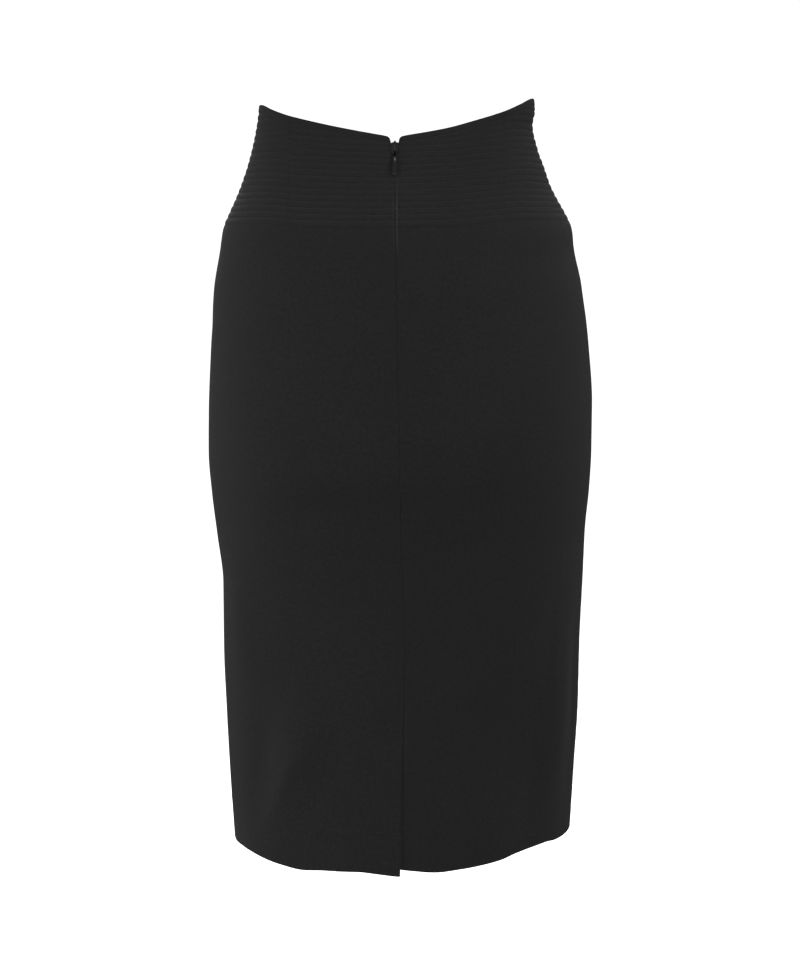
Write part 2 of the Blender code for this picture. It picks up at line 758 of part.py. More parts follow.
def main():
    for thing in list(bpy.data.objects):
        bpy.data.objects.remove(thing)
    crepe = make_material("crepe", (0.021, 0.020, 0.020), 0.85)
    ribbed = make_material("ribbed_crepe", (0.021, 0.020, 0.020), 0.80)
    tape = make_material("zip_tape", (0.015, 0.015, 0.015), 0.90)
    metal = make_material("black_enamel", (0.012, 0.012, 0.012), 0.25, 0.4)
    make_material("helper", (0.5, 0.5, 0.5), 0.5)

    yoke_panel("yoke_back_left", BACK_COLUMNS, ribbed)
    yoke_panel("yoke_side_left", SIDE_COLUMNS, ribbed)
    yoke_panel("yoke_front", FRONT_COLUMNS, ribbed)
    yoke_panel("yoke_side_right", mirrored(SIDE_COLUMNS), ribbed)
    yoke_panel("yoke_back_right", mirrored(BACK_COLUMNS), ribbed)

    left_columns = BACK_COLUMNS + SIDE_COLUMNS[1:]
    skirt_panel("skirt_back_left", left_columns, left_flap, crepe)
    skirt_panel("skirt_front", FRONT_COLUMNS, no_flap, crepe)
    skirt_panel("skirt_back_right", mirrored(left_columns), right_flap, crepe)
    vent_underlap(crepe)

    zip_tape("zip_tape_left", +1, tape)
    zip_tape("zip_tape_right", -1, tape)
    slope = zip_slope(SLIDER_HEIGHT)
    seat = worn(cloth(0.0, SLIDER_HEIGHT))
    slider(metal, seat, slope)
    lean = math.radians(slope)
    out_of_cloth = Vector((0.0, math.cos(lean), math.sin(lean)))
    down_the_zip = Vector((0.0, math.sin(lean), -math.cos(lean)))
    bar = seat + PIN_OUT * out_of_cloth + PIN_DOWN * down_the_zip
    pull(metal, bar, slope + PULL_LEAN)
    print("pull bar at", [round(v, 5) for v in bar], "slope", round(slope, 3))


main()
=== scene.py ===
# %% [markdown]
# # A pencil skirt with a quilted waist
#
# This lesson dresses a finished set of solids as a real skirt: black crepe with a soft fall,
# a waist yoke quilted in rows, a back zip with its slider and pull, and a vent at the hem.
# The solids come first and set every size. Cloth is then made again as a thin shell on the
# same form, with finer rows, creases, seams and stitches than a solid needs.
#
# The skirt's front faces -Y and the wearer's left is +X. Angles run round it: 0 is the
# centre back, +90 the left side seam, 180 the centre front and -90 the right side seam.

# %% Load the solids
import math
from collections import namedtuple
from functools import partial

import bmesh
import bpy
import numpy as np
from mathutils import Matrix, Vector


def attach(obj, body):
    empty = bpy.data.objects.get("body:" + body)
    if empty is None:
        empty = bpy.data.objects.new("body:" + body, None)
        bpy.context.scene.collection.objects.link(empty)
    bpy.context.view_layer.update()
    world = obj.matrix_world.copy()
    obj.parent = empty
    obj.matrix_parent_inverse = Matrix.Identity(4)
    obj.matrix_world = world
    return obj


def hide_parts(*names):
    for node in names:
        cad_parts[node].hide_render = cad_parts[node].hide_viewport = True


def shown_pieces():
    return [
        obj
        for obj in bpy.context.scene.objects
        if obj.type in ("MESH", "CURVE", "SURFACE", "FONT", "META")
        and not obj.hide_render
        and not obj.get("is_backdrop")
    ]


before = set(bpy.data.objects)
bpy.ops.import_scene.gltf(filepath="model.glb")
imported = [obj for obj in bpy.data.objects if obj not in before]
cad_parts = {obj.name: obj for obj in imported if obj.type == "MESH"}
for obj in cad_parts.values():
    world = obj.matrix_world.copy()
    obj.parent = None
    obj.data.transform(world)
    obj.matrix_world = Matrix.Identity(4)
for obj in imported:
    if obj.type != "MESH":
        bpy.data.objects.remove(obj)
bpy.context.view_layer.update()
print("nodes:", ", ".join(sorted(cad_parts)))

# %% [markdown]
# ## The form
#
# A skirt filled out as on a figure is close to a stack of rounded outlines, wide at the hip
# and narrow at the waist. It could be sculpted, or draped by a cloth simulation on a figure.
# Here two short tables and a smooth curve through each column give it, because then every
# panel, stitch and crease can ask the same function where the cloth is.

# %% Sizes and sections
WAIST_SEAM = -0.0575  # height of the seam between the quilted yoke and the skirt
HEM = -0.630
HITCH = 0.012  # rise towards the wearer's right, for each metre across
SIDE_RISE = 0.0022  # how much higher both sides sit than the middle
SEAM_GAP = 0.0001
PANEL_SEAM = 0.092  # from the middle to the upright seams in the back of the yoke


def table(columns, *rows):
    """Rows of numbers under the names of their columns. A last one left out is 0."""
    Row = namedtuple("Row", columns, defaults=[0.0])
    return tuple(Row(*row) for row in rows)


SECTION = "height left right back front left_round right_round drift hollow"
YOKE_SECTIONS = table(
    SECTION,
    (+0.050, 0.1228, 0.1210, 0.0705, 0.0880, 2.00, 2.00, +0.0027, 0.0055),
    (+0.036, 0.1248, 0.1222, 0.0789, 0.0894, 2.00, 2.00, +0.0027, 0.0058),
    (+0.024, 0.1266, 0.1204, 0.0860, 0.0905, 2.00, 2.00, +0.0027, 0.0060),
    (+0.000, 0.1320, 0.1257, 0.0993, 0.0920, 2.00, 2.00, +0.0026, 0.0044),
    (-0.014, 0.1362, 0.1310, 0.1072, 0.0938, 2.00, 2.00, +0.0026, 0.0031),
    (-0.030, 0.1419, 0.1366, 0.1166, 0.0965, 2.00, 2.00, +0.0025, 0.0018),
    (WAIST_SEAM, 0.1542, 0.1512, 0.1345, 0.1020, 2.00, 2.00, +0.0024, 0.0005),
)
SKIRT_SECTIONS = table(
    SECTION,
    (WAIST_SEAM, 0.1542, 0.1512, 0.1345, 0.1020, 2.00, 2.00, +0.0024, 0.0005),
    (-0.066, 0.1579, 0.1558, 0.1375, 0.1035, 2.00, 2.00, +0.0022),
    (-0.074, 0.1593, 0.1577, 0.1396, 0.1044, 2.00, 2.00, +0.0020),
    (-0.085, 0.1609, 0.1587, 0.1418, 0.1055, 2.00, 2.00, +0.0019),
    (-0.120, 0.1668, 0.1662, 0.1466, 0.1090, 2.03, 2.00, +0.0013),
    (-0.175, 0.1703, 0.1735, 0.1495, 0.1115, 2.05, 2.00, +0.0004),
    (-0.230, 0.1730, 0.1774, 0.1505, 0.1110, 2.05, 2.00, -0.0008),
    (-0.270, 0.1737, 0.1774, 0.1475, 0.1095, 2.05, 1.98, -0.0016),
    (-0.305, 0.1713, 0.1760, 0.1405, 0.1080, 2.07, 1.95, -0.0024),
    (-0.345, 0.1668, 0.1726, 0.1325, 0.1065, 2.10, 1.92, -0.0034),
    (-0.390, 0.1619, 0.1712, 0.1265, 0.1050, 2.12, 1.86, -0.0047),
    (-0.450, 0.1620, 0.1691, 0.1225, 0.1038, 2.15, 1.78, -0.0058),
    (-0.510, 0.1602, 0.1685, 0.1210, 0.1036, 2.17, 1.70, -0.0040),
    (-0.570, 0.1576, 0.1655, 0.1215, 0.1050, 2.20, 1.62, -0.0024),
    (HEM, 0.1540, 0.1625, 0.1235, 0.1080, 2.32, 1.57, -0.0012),
)
FRONT_ROUND = 2.1
HOLLOW_REACH = 10  # the higher, the narrower the hollow at the centre back

# Height of the yoke's top edge, on the wearer's left and right.
TOP_EDGE = table(
    "angle left right",
    (0.0, 0.0167, 0.0167),
    (20.0, 0.0242, 0.0229),
    (35.0, 0.0298, 0.0296),
    (50.0, 0.0351, 0.0361),
    (62.0, 0.0396, 0.0417),
    (75.0, 0.0437, 0.0463),
    (80.0, 0.0441, 0.0469),
    (86.0, 0.0436, 0.0463),
    (90.0, 0.0424, 0.0448),
    (95.0, 0.0408, 0.0430),
    (130.0, 0.0200, 0.0215),
    (158.0, 0.0070, 0.0070),
    (180.0, 0.0052, 0.0052),
)

# How far the waist seam hangs below level, and the quilted rows' pitch, of the full one.
YOKE_LINES = table(
    "angle left right pitch",
    (0.0, 0.0016, 0.0016, 0.980),
    (17.0, 0.0017, 0.0017, 0.990),
    (30.0, 0.0017, 0.0000, 1.004),
    (43.0, 0.0004, -0.0011, 1.008),
    (55.0, 0.0010, 0.0000, 0.990),
    (75.0, 0.0033, 0.0026, 0.962),
    (90.0, 0.0044, 0.0038, 0.954),
    (130.0, 0.0015, 0.0012, 0.975),
    (180.0, 0.0000, 0.0000, 1.000),
)
SEAM_EASE = 0.050  # below the waist seam, the rows of points grow level over this height

# How far the hem hangs below level: the cloth sinks and lifts in shallow waves round it.
HEM_LINE = table(
    "angle left right",
    (0.0, 0.0000, 0.0000),
    (5.0, -0.0018, 0.0004),
    (9.5, -0.0025, 0.0006),
    (14.0, -0.0015, 0.0014),
    (18.0, -0.0004, 0.0021),
    (24.0, 0.0006, 0.0013),
    (32.0, 0.0024, 0.0006),
    (39.0, 0.0013, 0.0005),
    (46.0, 0.0002, -0.0011),
    (53.0, -0.0010, -0.0014),
    (60.0, -0.0019, -0.0012),
    (67.0, -0.0022, 0.0011),
    (75.0, -0.0010, 0.0016),
    (90.0, 0.0000, 0.0000),
    (120.0, 0.0010, -0.0009),
    (150.0, -0.0012, 0.0011),
    (180.0, 0.0000, 0.0000),
)
HEM_EASE = 0.100  # over this height above the hem, the waves grow
print(len(YOKE_SECTIONS) + len(SKIRT_SECTIONS), "sections from hem to waist")


# %% A smooth curve through a table's column
def read(rows, column, where):
    """The values of a named column at an array of heights, with no overshoot between rows."""
    rows = sorted(rows)
    at = np.array([row[0] for row in rows])
    value = np.array([getattr(row, column) for row in rows])
    rise = np.diff(value) / np.diff(at)
    before, after = rise[:-1], rise[1:]
    same_way = before * after > 0
    both = np.where(same_way, before + after, 1.0)
    slope = np.concatenate(([rise[0]], np.where(same_way, 2 * before * after / both, 0.0), [rise[-1]]))
    where = np.clip(where, at[0], at[-1])
    i = np.clip(np.searchsorted(at, where, side="right") - 1, 0, len(at) - 2)
    step = at[i + 1] - at[i]
    t = (where - at[i]) / step
    return (
        value[i] * (1 + 2 * t) * (1 - t) ** 2
        + slope[i] * step * t * (1 - t) ** 2
        + value[i + 1] * t * t * (3 - 2 * t)
        + slope[i + 1] * step * t * t * (t - 1)
    )


def ease(t):
    """0 to 1, smoothly, as t runs from 0 to 1."""
    t = np.clip(t, 0.0, 1.0)
    return t * t * (3 - 2 * t)


def bell(t):
    """1 at the middle, dying away on both sides."""
    return np.exp(-t * t)


def by_side(rows, angle):
    """A table's left or right column at an array of angles."""
    turn = (np.asarray(angle) + 180) % 360 - 180
    return np.where(turn >= 0, read(rows, "left", abs(turn)), read(rows, "right", abs(turn)))


def top_height(angle):
    """Height of the yoke's top edge."""
    return by_side(TOP_EDGE, angle)


def waist_seam(angle):
    """Height of the seam between the yoke and the skirt."""
    return WAIST_SEAM - by_side(YOKE_LINES, angle)


# %% The plain form
def section(column, height):
    """A column of whichever table the height lies in."""
    return np.where(
        height > WAIST_SEAM,
        read(YOKE_SECTIONS, column, height),
        read(SKIRT_SECTIONS, column, height),
    )


def plain_form(angle, height):
    """Points of the rounded sections, for arrays of angles and heights."""
    angle, height = np.broadcast_arrays(np.asarray(angle, float), np.asarray(height, float))
    across, along = np.sin(np.radians(angle)), np.cos(np.radians(angle))
    on_left, at_back = across >= 0, along >= 0
    half_width = np.where(on_left, section("left", height), section("right", height))
    depth = np.where(at_back, section("back", height), section("front", height))
    back_round = np.where(on_left, section("left_round", height), section("right_round", height))
    roundness = np.where(at_back, back_round, FRONT_ROUND)
    x = half_width * np.sign(across) * abs(across) ** (2 / roundness)
    y = depth * np.sign(along) * abs(along) ** (2 / roundness)
    x = x + np.where(at_back, section("drift", height) * along**2, 0.0)
    y = y - np.where(at_back, section("hollow", height) * along**HOLLOW_REACH, 0.0)
    return np.stack([x, y, height], axis=-1)


ANGLE_STEP, HEIGHT_STEP = 1.0, 0.002


def outward(angle, height):
    """Unit vectors straight out of the form, mitred where the yoke meets the skirt."""
    up = plain_form(angle, height + HEIGHT_STEP) - plain_form(angle, height - HEIGHT_STEP)
    along = plain_form(angle + ANGLE_STEP, height) - plain_form(angle - ANGLE_STEP, height)
    out = np.cross(up, along)
    return out / np.linalg.norm(out, axis=-1, keepdims=True)


def worn(points):
    """The skirt sits a little higher at the sides, and most at the wearer's right."""
    points = np.array(points, float)
    aside = points[..., 0] / SKIRT_SECTIONS[0].left
    points[..., 2] += SIDE_RISE * aside**2 - HITCH * points[..., 0]
    return points


hip = plain_form(np.arange(0.0, 360.0, 2.0), -0.230)
hip_round = np.linalg.norm(np.roll(hip, -1, axis=0) - hip, axis=1).sum()
print("hip, cm:", round(100 * hip_round, 1))

# %% [markdown]
# ## Folds and creases
#
# Worn cloth is never quite even. It swells where it is pushed from inside, falls in below
# the seat, and shows short drag lines where a seam holds it. A noise texture would ripple it
# the same all over, so each fold is a row of a table: where it is, how far
# it reaches, which way it leans and how deep it is. The broad ones are in the solids too.
# The creases are finer, and only the dressed skirt has them.

# %% The folds' tables
FOLD = "angle height reach_angle reach_height lean depth"
FOLDS = table(
    FOLD,
    (+34.0, -0.520, 9.0, 0.070, +95.0, +0.0040),
    (+50.0, -0.545, 8.0, 0.045, +60.0, -0.0030),
    (+62.0, -0.420, 10.0, 0.050, -40.0, +0.0030),
    (-31.0, HEM, 13.0, 0.080, +0.0, +0.0060),
    (-42.0, -0.530, 11.0, 0.050, +25.0, -0.0045),
    (-63.0, -0.505, 6.5, 0.085, +8.0, +0.0035),
    (-76.0, -0.495, 6.0, 0.080, -5.0, -0.0025),
    (+18.0, -0.305, 22.0, 0.022, +0.0, -0.0022),
    (+132.0, -0.470, 9.0, 0.130, -12.0, -0.0040),
    (+160.0, -0.520, 10.0, 0.120, +10.0, +0.0035),
    (-150.0, -0.460, 10.0, 0.120, +14.0, -0.0040),
    (-122.0, -0.500, 9.0, 0.110, -10.0, +0.0030),
)
CREASES = table(
    FOLD,
    (+26.0, -0.345, 15.0, 0.0090, +30.0, -0.0007),
    (+8.0, -0.322, 12.0, 0.0080, -25.0, -0.0006),
    (-22.0, -0.338, 13.0, 0.0100, -40.0, -0.0005),
    (+66.0, -0.335, 9.0, 0.0070, +90.0, -0.0006),
    (-70.0, -0.352, 8.0, 0.0080, -110.0, -0.0006),
    (+30.0, -0.500, 3.0, 0.0500, +150.0, +0.0010),
    (+25.0, -0.465, 3.0, 0.0400, +180.0, -0.0008),
    (+6.0, -0.470, 4.0, 0.0300, +120.0, +0.0006),
    (-9.0, -0.455, 4.0, 0.0400, -80.0, -0.0006),
    (-58.0, -0.470, 2.6, 0.0800, +6.0, +0.0008),
    (-50.0, -0.560, 3.0, 0.0450, +20.0, -0.0008),
    (+34.5, -0.542, 4.4, 0.0360, +250.0, +0.0014),
    (+26.0, -0.562, 4.4, 0.0280, +250.0, -0.0008),
    (+78.0, -0.560, 3.0, 0.0600, -10.0, +0.0008),
    (+84.0, -0.150, 5.0, 0.0120, +160.0, -0.0005),
    (-82.0, -0.130, 5.0, 0.0100, -170.0, -0.0005),
    (+150.0, -0.330, 14.0, 0.0090, +30.0, -0.0007),
    (-155.0, -0.352, 15.0, 0.0100, -35.0, -0.0006),
    (+172.0, -0.140, 10.0, 0.0090, +40.0, -0.0005),
    (+115.0, -0.420, 3.0, 0.0900, -15.0, +0.0009),
    (-112.0, -0.440, 3.2, 0.0800, +18.0, -0.0009),
    (-168.0, -0.560, 3.0, 0.0500, +20.0, +0.0008),
)
FOLD_FADE = 0.040  # below the yoke's seam, the folds grow over this height


def bulge(fold, angle, height):
    """How far one fold moves the cloth outwards."""
    turn = (angle - fold.angle + 180) % 360 - 180 + fold.lean * (height - fold.height)
    return fold.depth * bell(turn / fold.reach_angle) * bell((height - fold.height) / fold.reach_height)


def swell(angle, height, folds=FOLDS + CREASES):
    """How far all the folds move the cloth outwards."""
    grown = ease((WAIST_SEAM - height) / FOLD_FADE)
    return grown * sum(bulge(fold, angle, height) for fold in folds)


print(len(FOLDS), "broad folds and", len(CREASES), "creases")

# %% [markdown]
# The vent opens below the middle of the back. Its upper flap stands out a little and its
# corner drops; the lower one falls in. Both moves start at nothing where the seam ends.

# %% The vent's two flaps
VENT_TOP = -0.426
VENT_FLARE, VENT_DROP, VENT_FLARE_REACH = 0.0020, 0.0031, 24.0  # the last in degrees
VENT_DIP, VENT_RISE, VENT_DIP_REACH = 0.0010, 0.0026, 15.0


def vent_share(height):
    """0 at the top of the vent, 1 at the hem."""
    return ease((VENT_TOP - height) / (VENT_TOP - HEM))


def left_flap(angle, height):
    """(outward, downward) move of the upper flap, beside the vent."""
    near = ease(1 - abs(angle) / VENT_FLARE_REACH) * vent_share(height)
    return VENT_FLARE * near, VENT_DROP * near * vent_share(height)


def right_flap(angle, height):
    """The same for the lower flap, which falls in."""
    near = ease(1 - abs(angle) / VENT_DIP_REACH) * vent_share(height)
    return -VENT_DIP * near, -VENT_RISE * near * vent_share(height)


def underlap_fall(angle, height):
    """The layer behind the vent moves with the lower flap."""
    return right_flap(np.minimum(angle, 0.0), height)


def no_flap(angle, _height):
    return np.zeros_like(angle), np.zeros_like(angle)


def cloth(angle, height, out=0.0, flap=no_flap, folds=FOLDS + CREASES):
    """Points of the worn cloth, moved out from its face by so much."""
    angle, height = np.broadcast_arrays(np.asarray(angle, float), np.asarray(height, float))
    stands, drops = flap(angle, height)
    away = swell(angle, height, folds) + stands + out
    points = plain_form(angle, height) + outward(angle, height) * away[..., None]
    points[..., 2] -= drops
    return worn(points)


# %% Stations: lines up the skirt that keep the yoke's seams upright
SEAM_STATION = 0.43


def angle_at(station, height):
    """Stations run round the skirt in right angles: 0 centre back, 1 the left side seam."""
    station, height = np.broadcast_arrays(np.asarray(station, float), np.asarray(height, float))
    above = np.maximum(height, WAIST_SEAM)
    left, right = (read(YOKE_SECTIONS, side, above) for side in ("left", "right"))
    half = np.where(station > 0, left, right)
    seam = np.degrees(np.arcsin(PANEL_SEAM / half))
    size = abs(station)
    beyond = (size - SEAM_STATION) / (1 - SEAM_STATION)
    turned = np.where(size <= SEAM_STATION, seam * size / SEAM_STATION, seam + (90.0 - seam) * beyond)
    return np.where(size >= 1, station * 90.0, np.copysign(turned, station))


# %% [markdown]
# ## One helper for every wall of cloth
#
# Each sewn panel is a thin wall: an outer face, an inner face and a rounded rim. A grid with
# a Solidify modifier could make it, but then the quilted rows would show on the inside as
# well, and the hem, which is two layers thick, would be as thin as the rest. So the helper
# takes two grids of points, closes the rim between them, and gives the wall a UV map
# measured in metres, so that a woven pattern has the same scale on each piece.

# %% Closing a wall
RIM_TURNS = (0.25, 0.5, 0.75)  # of the way round the rim's half circle


def border(columns, rows):
    """Grid places along the edge of a panel, once round."""
    bottom = [(c, 0) for c in range(columns)]
    last = [(columns - 1, r) for r in range(1, rows)]
    top = [(c, rows - 1) for c in range(columns - 2, -1, -1)]
    first = [(0, r) for r in range(rows - 2, 0, -1)]
    return np.array(bottom + last + top + first)


def rim_points(outer, inner, places, bead):
    """Rings of points that round the edge. bead: how round, at (first, last, bottom, top)."""
    columns, rows = outer.shape[:2]
    c, r = places[:, 0], places[:, 1]
    away = np.zeros((len(places), 3))
    first, last = np.broadcast_to(bead[0], rows)[r], np.broadcast_to(bead[1], rows)[r]
    for here, share, dc, dr in (
        (c == 0, first, 3, 0),
        (c == columns - 1, last, -3, 0),
        (r == 0, bead[2], 0, 3),
        (r == rows - 1, bead[3], 0, -3),
    ):
        step = outer[c, r] - outer[np.clip(c + dc, 0, columns - 1), np.clip(r + dr, 0, rows - 1)]
        length = np.linalg.norm(step, axis=1, keepdims=True)
        away += (here * share)[:, None] * step / np.maximum(length, 1e-9)
    middle, half = (outer[c, r] + inner[c, r]) / 2, (outer[c, r] - inner[c, r]) / 2
    radius = np.linalg.norm(half, axis=1, keepdims=True)
    return [
        middle + half * math.cos(math.pi * turn) + away * radius * math.sin(math.pi * turn)
        for turn in RIM_TURNS
    ]


def grid_faces(columns, rows):
    """Quads of a grid whose columns run to the wearer's left and rows run up, facing out."""
    c, r = np.meshgrid(np.arange(columns - 1), np.arange(rows - 1), indexing="ij")
    low = (c * rows + r).ravel()
    return np.stack([low, low + 1, low + rows + 1, low + rows], axis=1)


def make_wall(name, outer, inner, marks, bead=(0.3, 0.3, 1.0, 1.0)):
    """A closed wall of cloth from two grids of points. marks: named values for each place."""
    columns, rows = outer.shape[:2]
    count = columns * rows
    places = border(columns, rows)
    rings = rim_points(outer, inner, places, bead)
    points = np.concatenate([outer.reshape(-1, 3), inner.reshape(-1, 3), *rings])
    front = grid_faces(columns, rows)
    back = front[:, ::-1] + count
    flat = places[:, 0] * rows + places[:, 1]
    loops = [flat] + [2 * count + k * len(flat) + np.arange(len(flat)) for k in range(len(rings))]
    loops.append(flat + count)
    rim = []
    for near, far in zip(loops, loops[1:]):
        rim.append(np.stack([near, far, np.roll(far, -1), np.roll(near, -1)], axis=1)[:, ::-1])
    faces = np.concatenate([front, back, *rim])
    mesh = bpy.data.meshes.new(name)
    mesh.from_pydata(points.tolist(), [], faces.tolist())
    spread = {}
    for key, value in marks.items():
        value = value.reshape(count, -1)
        spread[key] = np.concatenate([value, value, *[value[flat]] * len(rings)])
    spread["outer"] = np.zeros((len(points), 1))
    spread["outer"][:count] = 1.0
    for k, turn in enumerate(RIM_TURNS):
        ring = slice(2 * count + k * len(flat), 2 * count + (k + 1) * len(flat))
        spread["outer"][ring] = (1 + math.cos(math.pi * turn)) / 2
    corner = np.empty(len(mesh.loops), dtype=np.int32)
    mesh.loops.foreach_get("vertex_index", corner)
    mesh.uv_layers.new(name="cloth").data.foreach_set("uv", spread.pop("uv")[corner].ravel())
    for key, value in spread.items():
        kind, field = ("FLOAT_VECTOR", "vector") if value.shape[1] == 3 else ("FLOAT", "value")
        mesh.attributes.new(key, kind, "POINT").data.foreach_set(field, value.ravel())
    return mesh


def link(name, data):
    """An object for a mesh, a lamp or a camera, in the scene."""
    thing = bpy.data.objects.new(name, data)
    bpy.context.scene.collection.objects.link(thing)
    return thing


def end_mesh(bm, name):
    """Ends a bmesh as a new mesh."""
    mesh = bpy.data.meshes.new(name)
    bm.to_mesh(mesh)
    bm.free()
    return mesh


def add_piece(mesh, material=None, merge=True):
    """Merges points that meet, shades the mesh smooth and makes it an object."""
    if merge:
        bm = bmesh.new()
        bm.from_mesh(mesh)
        bmesh.ops.remove_doubles(bm, verts=bm.verts, dist=2e-6)
        bm.to_mesh(mesh)
        bm.free()
    mesh.shade_smooth()
    if material:
        mesh.materials.append(material)
    return link(mesh.name, mesh)


def triangles(thing):
    return sum(len(face.vertices) - 2 for face in thing.data.polygons)


# %% [markdown]
# ## Seams, lips and puckers
#
# Where two panels meet, the cloth turns under with a small round, and the seam's tension
# puckers it a little. Beside a concealed zip each edge is rolled into a soft lip. All three
# are moves in or out that depend on the distance from the seam, so they are one function of
# distances, and the grids only need closer columns near an edge to show them.

# %% Moves beside a seam
TUCK = 0.00035  # how far the cloth turns under at a seam
UPRIGHT_TUCK = 0.2  # of that, at the yoke's upright seams, which are pressed flat
SEAM_DIP, SEAM_DIP_REACH = 0.00010, 0.0035
PUCKER, PUCKER_FROM, PUCKER_REACH = 0.00004, 0.002, 0.006
PUCKER_WAVES = table("rate share shift", (430, 1.0, 1.0), (271, 0.7, 2.1), (690, 0.5, 4.0))
ZIP_END, ZIP_TOP = -0.190, 0.0119
SLIDER_HEIGHT = 0.0083
LIP_CREST, LIP_RISE, CREST_REACH = 0.00145, 0.0005, 0.0007  # the first from the zip's middle
LIP_TROUGH, LIP_FALL, TROUGH_REACH = 0.0029, 0.0002, 0.0009
LIP_FROM, LIP_GROWS, LIP_ENDS = 0.018, 0.030, 0.010  # below the slider, and above the zip's end
LIP_FADE = (-0.068, -0.082)  # the lips sink between these heights
LIP_LEAST = 0.2  # to this share
# The lips' crests are painted paler, a painted highlight where the rolled edges catch the light, in two
# steps down the zip.
LIP_HIGHLIGHTS = table("height reach share", (-0.014, 0.006, 0.35), (-0.028, 0.012, 0.65))
LIP_HIGHLIGHT_REACH = 0.0006
# Painted light along the lower flap at the vent lifts the shade that the upper flap's edge casts there.
VENT_LIGHT_SHARE, VENT_LIGHT_REACH = 0.80, 0.0028


def tuck(distance):
    """The quarter round that turns cloth under at its edge."""
    left = np.clip(1 - distance / TUCK, 0.0, 1.0)
    return -TUCK * (1 - np.sqrt(1 - left**2)) - SEAM_DIP * bell(distance / SEAM_DIP_REACH)


def pucker(distance, along, seed):
    """Small uneven waves along a seam, which die away from it."""
    wave = sum(row.share * np.sin(row.rate * along + row.shift * seed) for row in PUCKER_WAVES)
    return PUCKER * wave * bell((distance - PUCKER_FROM) / PUCKER_REACH)


def lip_share(height):
    """1 beside the yoke, 0 where the lips have sunk."""
    return ease((height - LIP_FADE[1]) / (LIP_FADE[0] - LIP_FADE[1]))


def zip_lip(distance, height, share):
    """The soft roll beside the closed zip, proudest in the yoke and flat at the zip's end."""
    closed = ease((SLIDER_HEIGHT - LIP_FROM - height) / LIP_GROWS) * ease((height - ZIP_END) / LIP_ENDS)
    proud = LIP_LEAST + (1 - LIP_LEAST) * lip_share(height)
    crest = LIP_RISE * bell((distance - LIP_CREST) / CREST_REACH)
    trough = LIP_FALL * bell((distance - LIP_TROUGH) / TROUGH_REACH)
    return share * closed * proud * (crest - trough)


def lip_painted_highlight(distance, height, share):
    """How much painted highlight a lip's crest has."""
    along = sum(row.share * ease((row.height - height) / row.reach) for row in LIP_HIGHLIGHTS)
    return share * along * lip_share(height) * bell((distance - LIP_CREST) / LIP_HIGHLIGHT_REACH)


def vent_painted_light(distance, height):
    """Painted light on the lower flap along the vent, more towards the hem: it lifts the shade beside
    the upper flap's edge.
    """
    return VENT_LIGHT_SHARE * vent_share(height) * bell(distance / VENT_LIGHT_REACH)


def beside_seams(from_first, to_last, height, seed, lips, sewn_tuck=1.0):
    """The moves beside a panel's two long edges, and the painted highlight on the edges' lips."""
    move, wear_and_painted_light = 0.0, 0.0
    for distance, lip, part in ((from_first, lips[0], 1.0), (to_last, lips[1], 2.0)):
        turned = (1.0 if lip else sewn_tuck) * tuck(distance) + pucker(distance, height, seed + part)
        move = move + turned + zip_lip(distance, height, lip)
        wear_and_painted_light = wear_and_painted_light + lip_painted_highlight(distance, height, lip)
    return move, wear_and_painted_light


EDGE_STEPS = np.array(
    [0, 0.00008, 0.0002, 0.0004, 0.0007, 0.0011, 0.00145, 0.0019, 0.0024, 0.0029, 0.0036, 0.0046]
)


def spaced(width, pitch, first=EDGE_STEPS, last=EDGE_STEPS):
    """Distances across a panel, 0 to 1: close together at its edges, and even between."""
    low, high = first[-1], width - last[-1]
    count = max(2, round((high - low) / pitch))
    middle = np.linspace(low, high, count + 1)[1:-1]
    return np.concatenate([first, middle, width - last[::-1]]) / width


def run_along(points, axis):
    """Length of cloth from the first column or row to each place of a grid."""
    steps = np.linalg.norm(np.diff(points, axis=axis), axis=2)
    zero = np.zeros_like(np.take(steps, [0], axis=axis))
    return np.concatenate([zero, np.cumsum(steps, axis=axis)], axis=axis)


def flat_cut(points):
    """(width, length, area) of the cloth in a grid, laid flat."""
    across = run_along(points, 0)[-1].max()
    up = run_along(points, 1)[:, -1].max()
    a, b = np.diff(points, axis=0)[:, :-1], np.diff(points, axis=1)[:-1]
    return float(across), float(up), float(np.linalg.norm(np.cross(a, b), axis=2).sum())


print("lips from", round(1000 * (SLIDER_HEIGHT - LIP_FROM)), "mm down to", round(1000 * ZIP_END), "mm")

# %% [markdown]
# ## The quilted yoke
#
# A quilted yoke is two layers of cloth stitched together in close rows over a thin filling,
# which puffs up between them. The rows follow the waist seam, and stop at a plain border
# that follows the top edge. The puff depends only on how much cloth lies below a point, so
# it is a rule, and Geometry Nodes raise it: the wall is built plain, with the length of
# cloth below each point kept as an attribute, and the tree moves the outer points.

# %% The yoke's plain walls
RIB_PITCH, RIB_RISE = 0.00635, 0.0007
BORDER = 0.0060
YOKE_WALL, YOKE_COLUMNS = 0.0012, 0.0028
RIB_PARTS = np.array([0.0, 0.05, 0.14, 0.28, 0.5, 0.72, 0.86, 0.95])
BORDER_STEPS = BORDER + 0.0001 * np.array([9, 4, 0, -4, -10, -18, -30, -42, -50])
TOP_STEPS = np.array([0.0006, 0.0003, 0.0])
LIFT = 0.00008  # of a thread's middle over the cloth
ZIP_OPENING = table(
    "depth half_gap",
    (0.0000, 0.0060),
    (0.0013, 0.0044),
    (0.0030, 0.0038),
    (0.0070, 0.0032),
    (0.0150, 0.0026),
    (0.0161, 0.0010),
    (0.0178, 0.0003),
    (0.0200, SEAM_GAP / 2),
)


def reach_of(angle, height):
    """Metres across the cloth for each degree round it."""
    return np.linalg.norm(plain_form(angle + 0.5, height) - plain_form(angle - 0.5, height), axis=2)


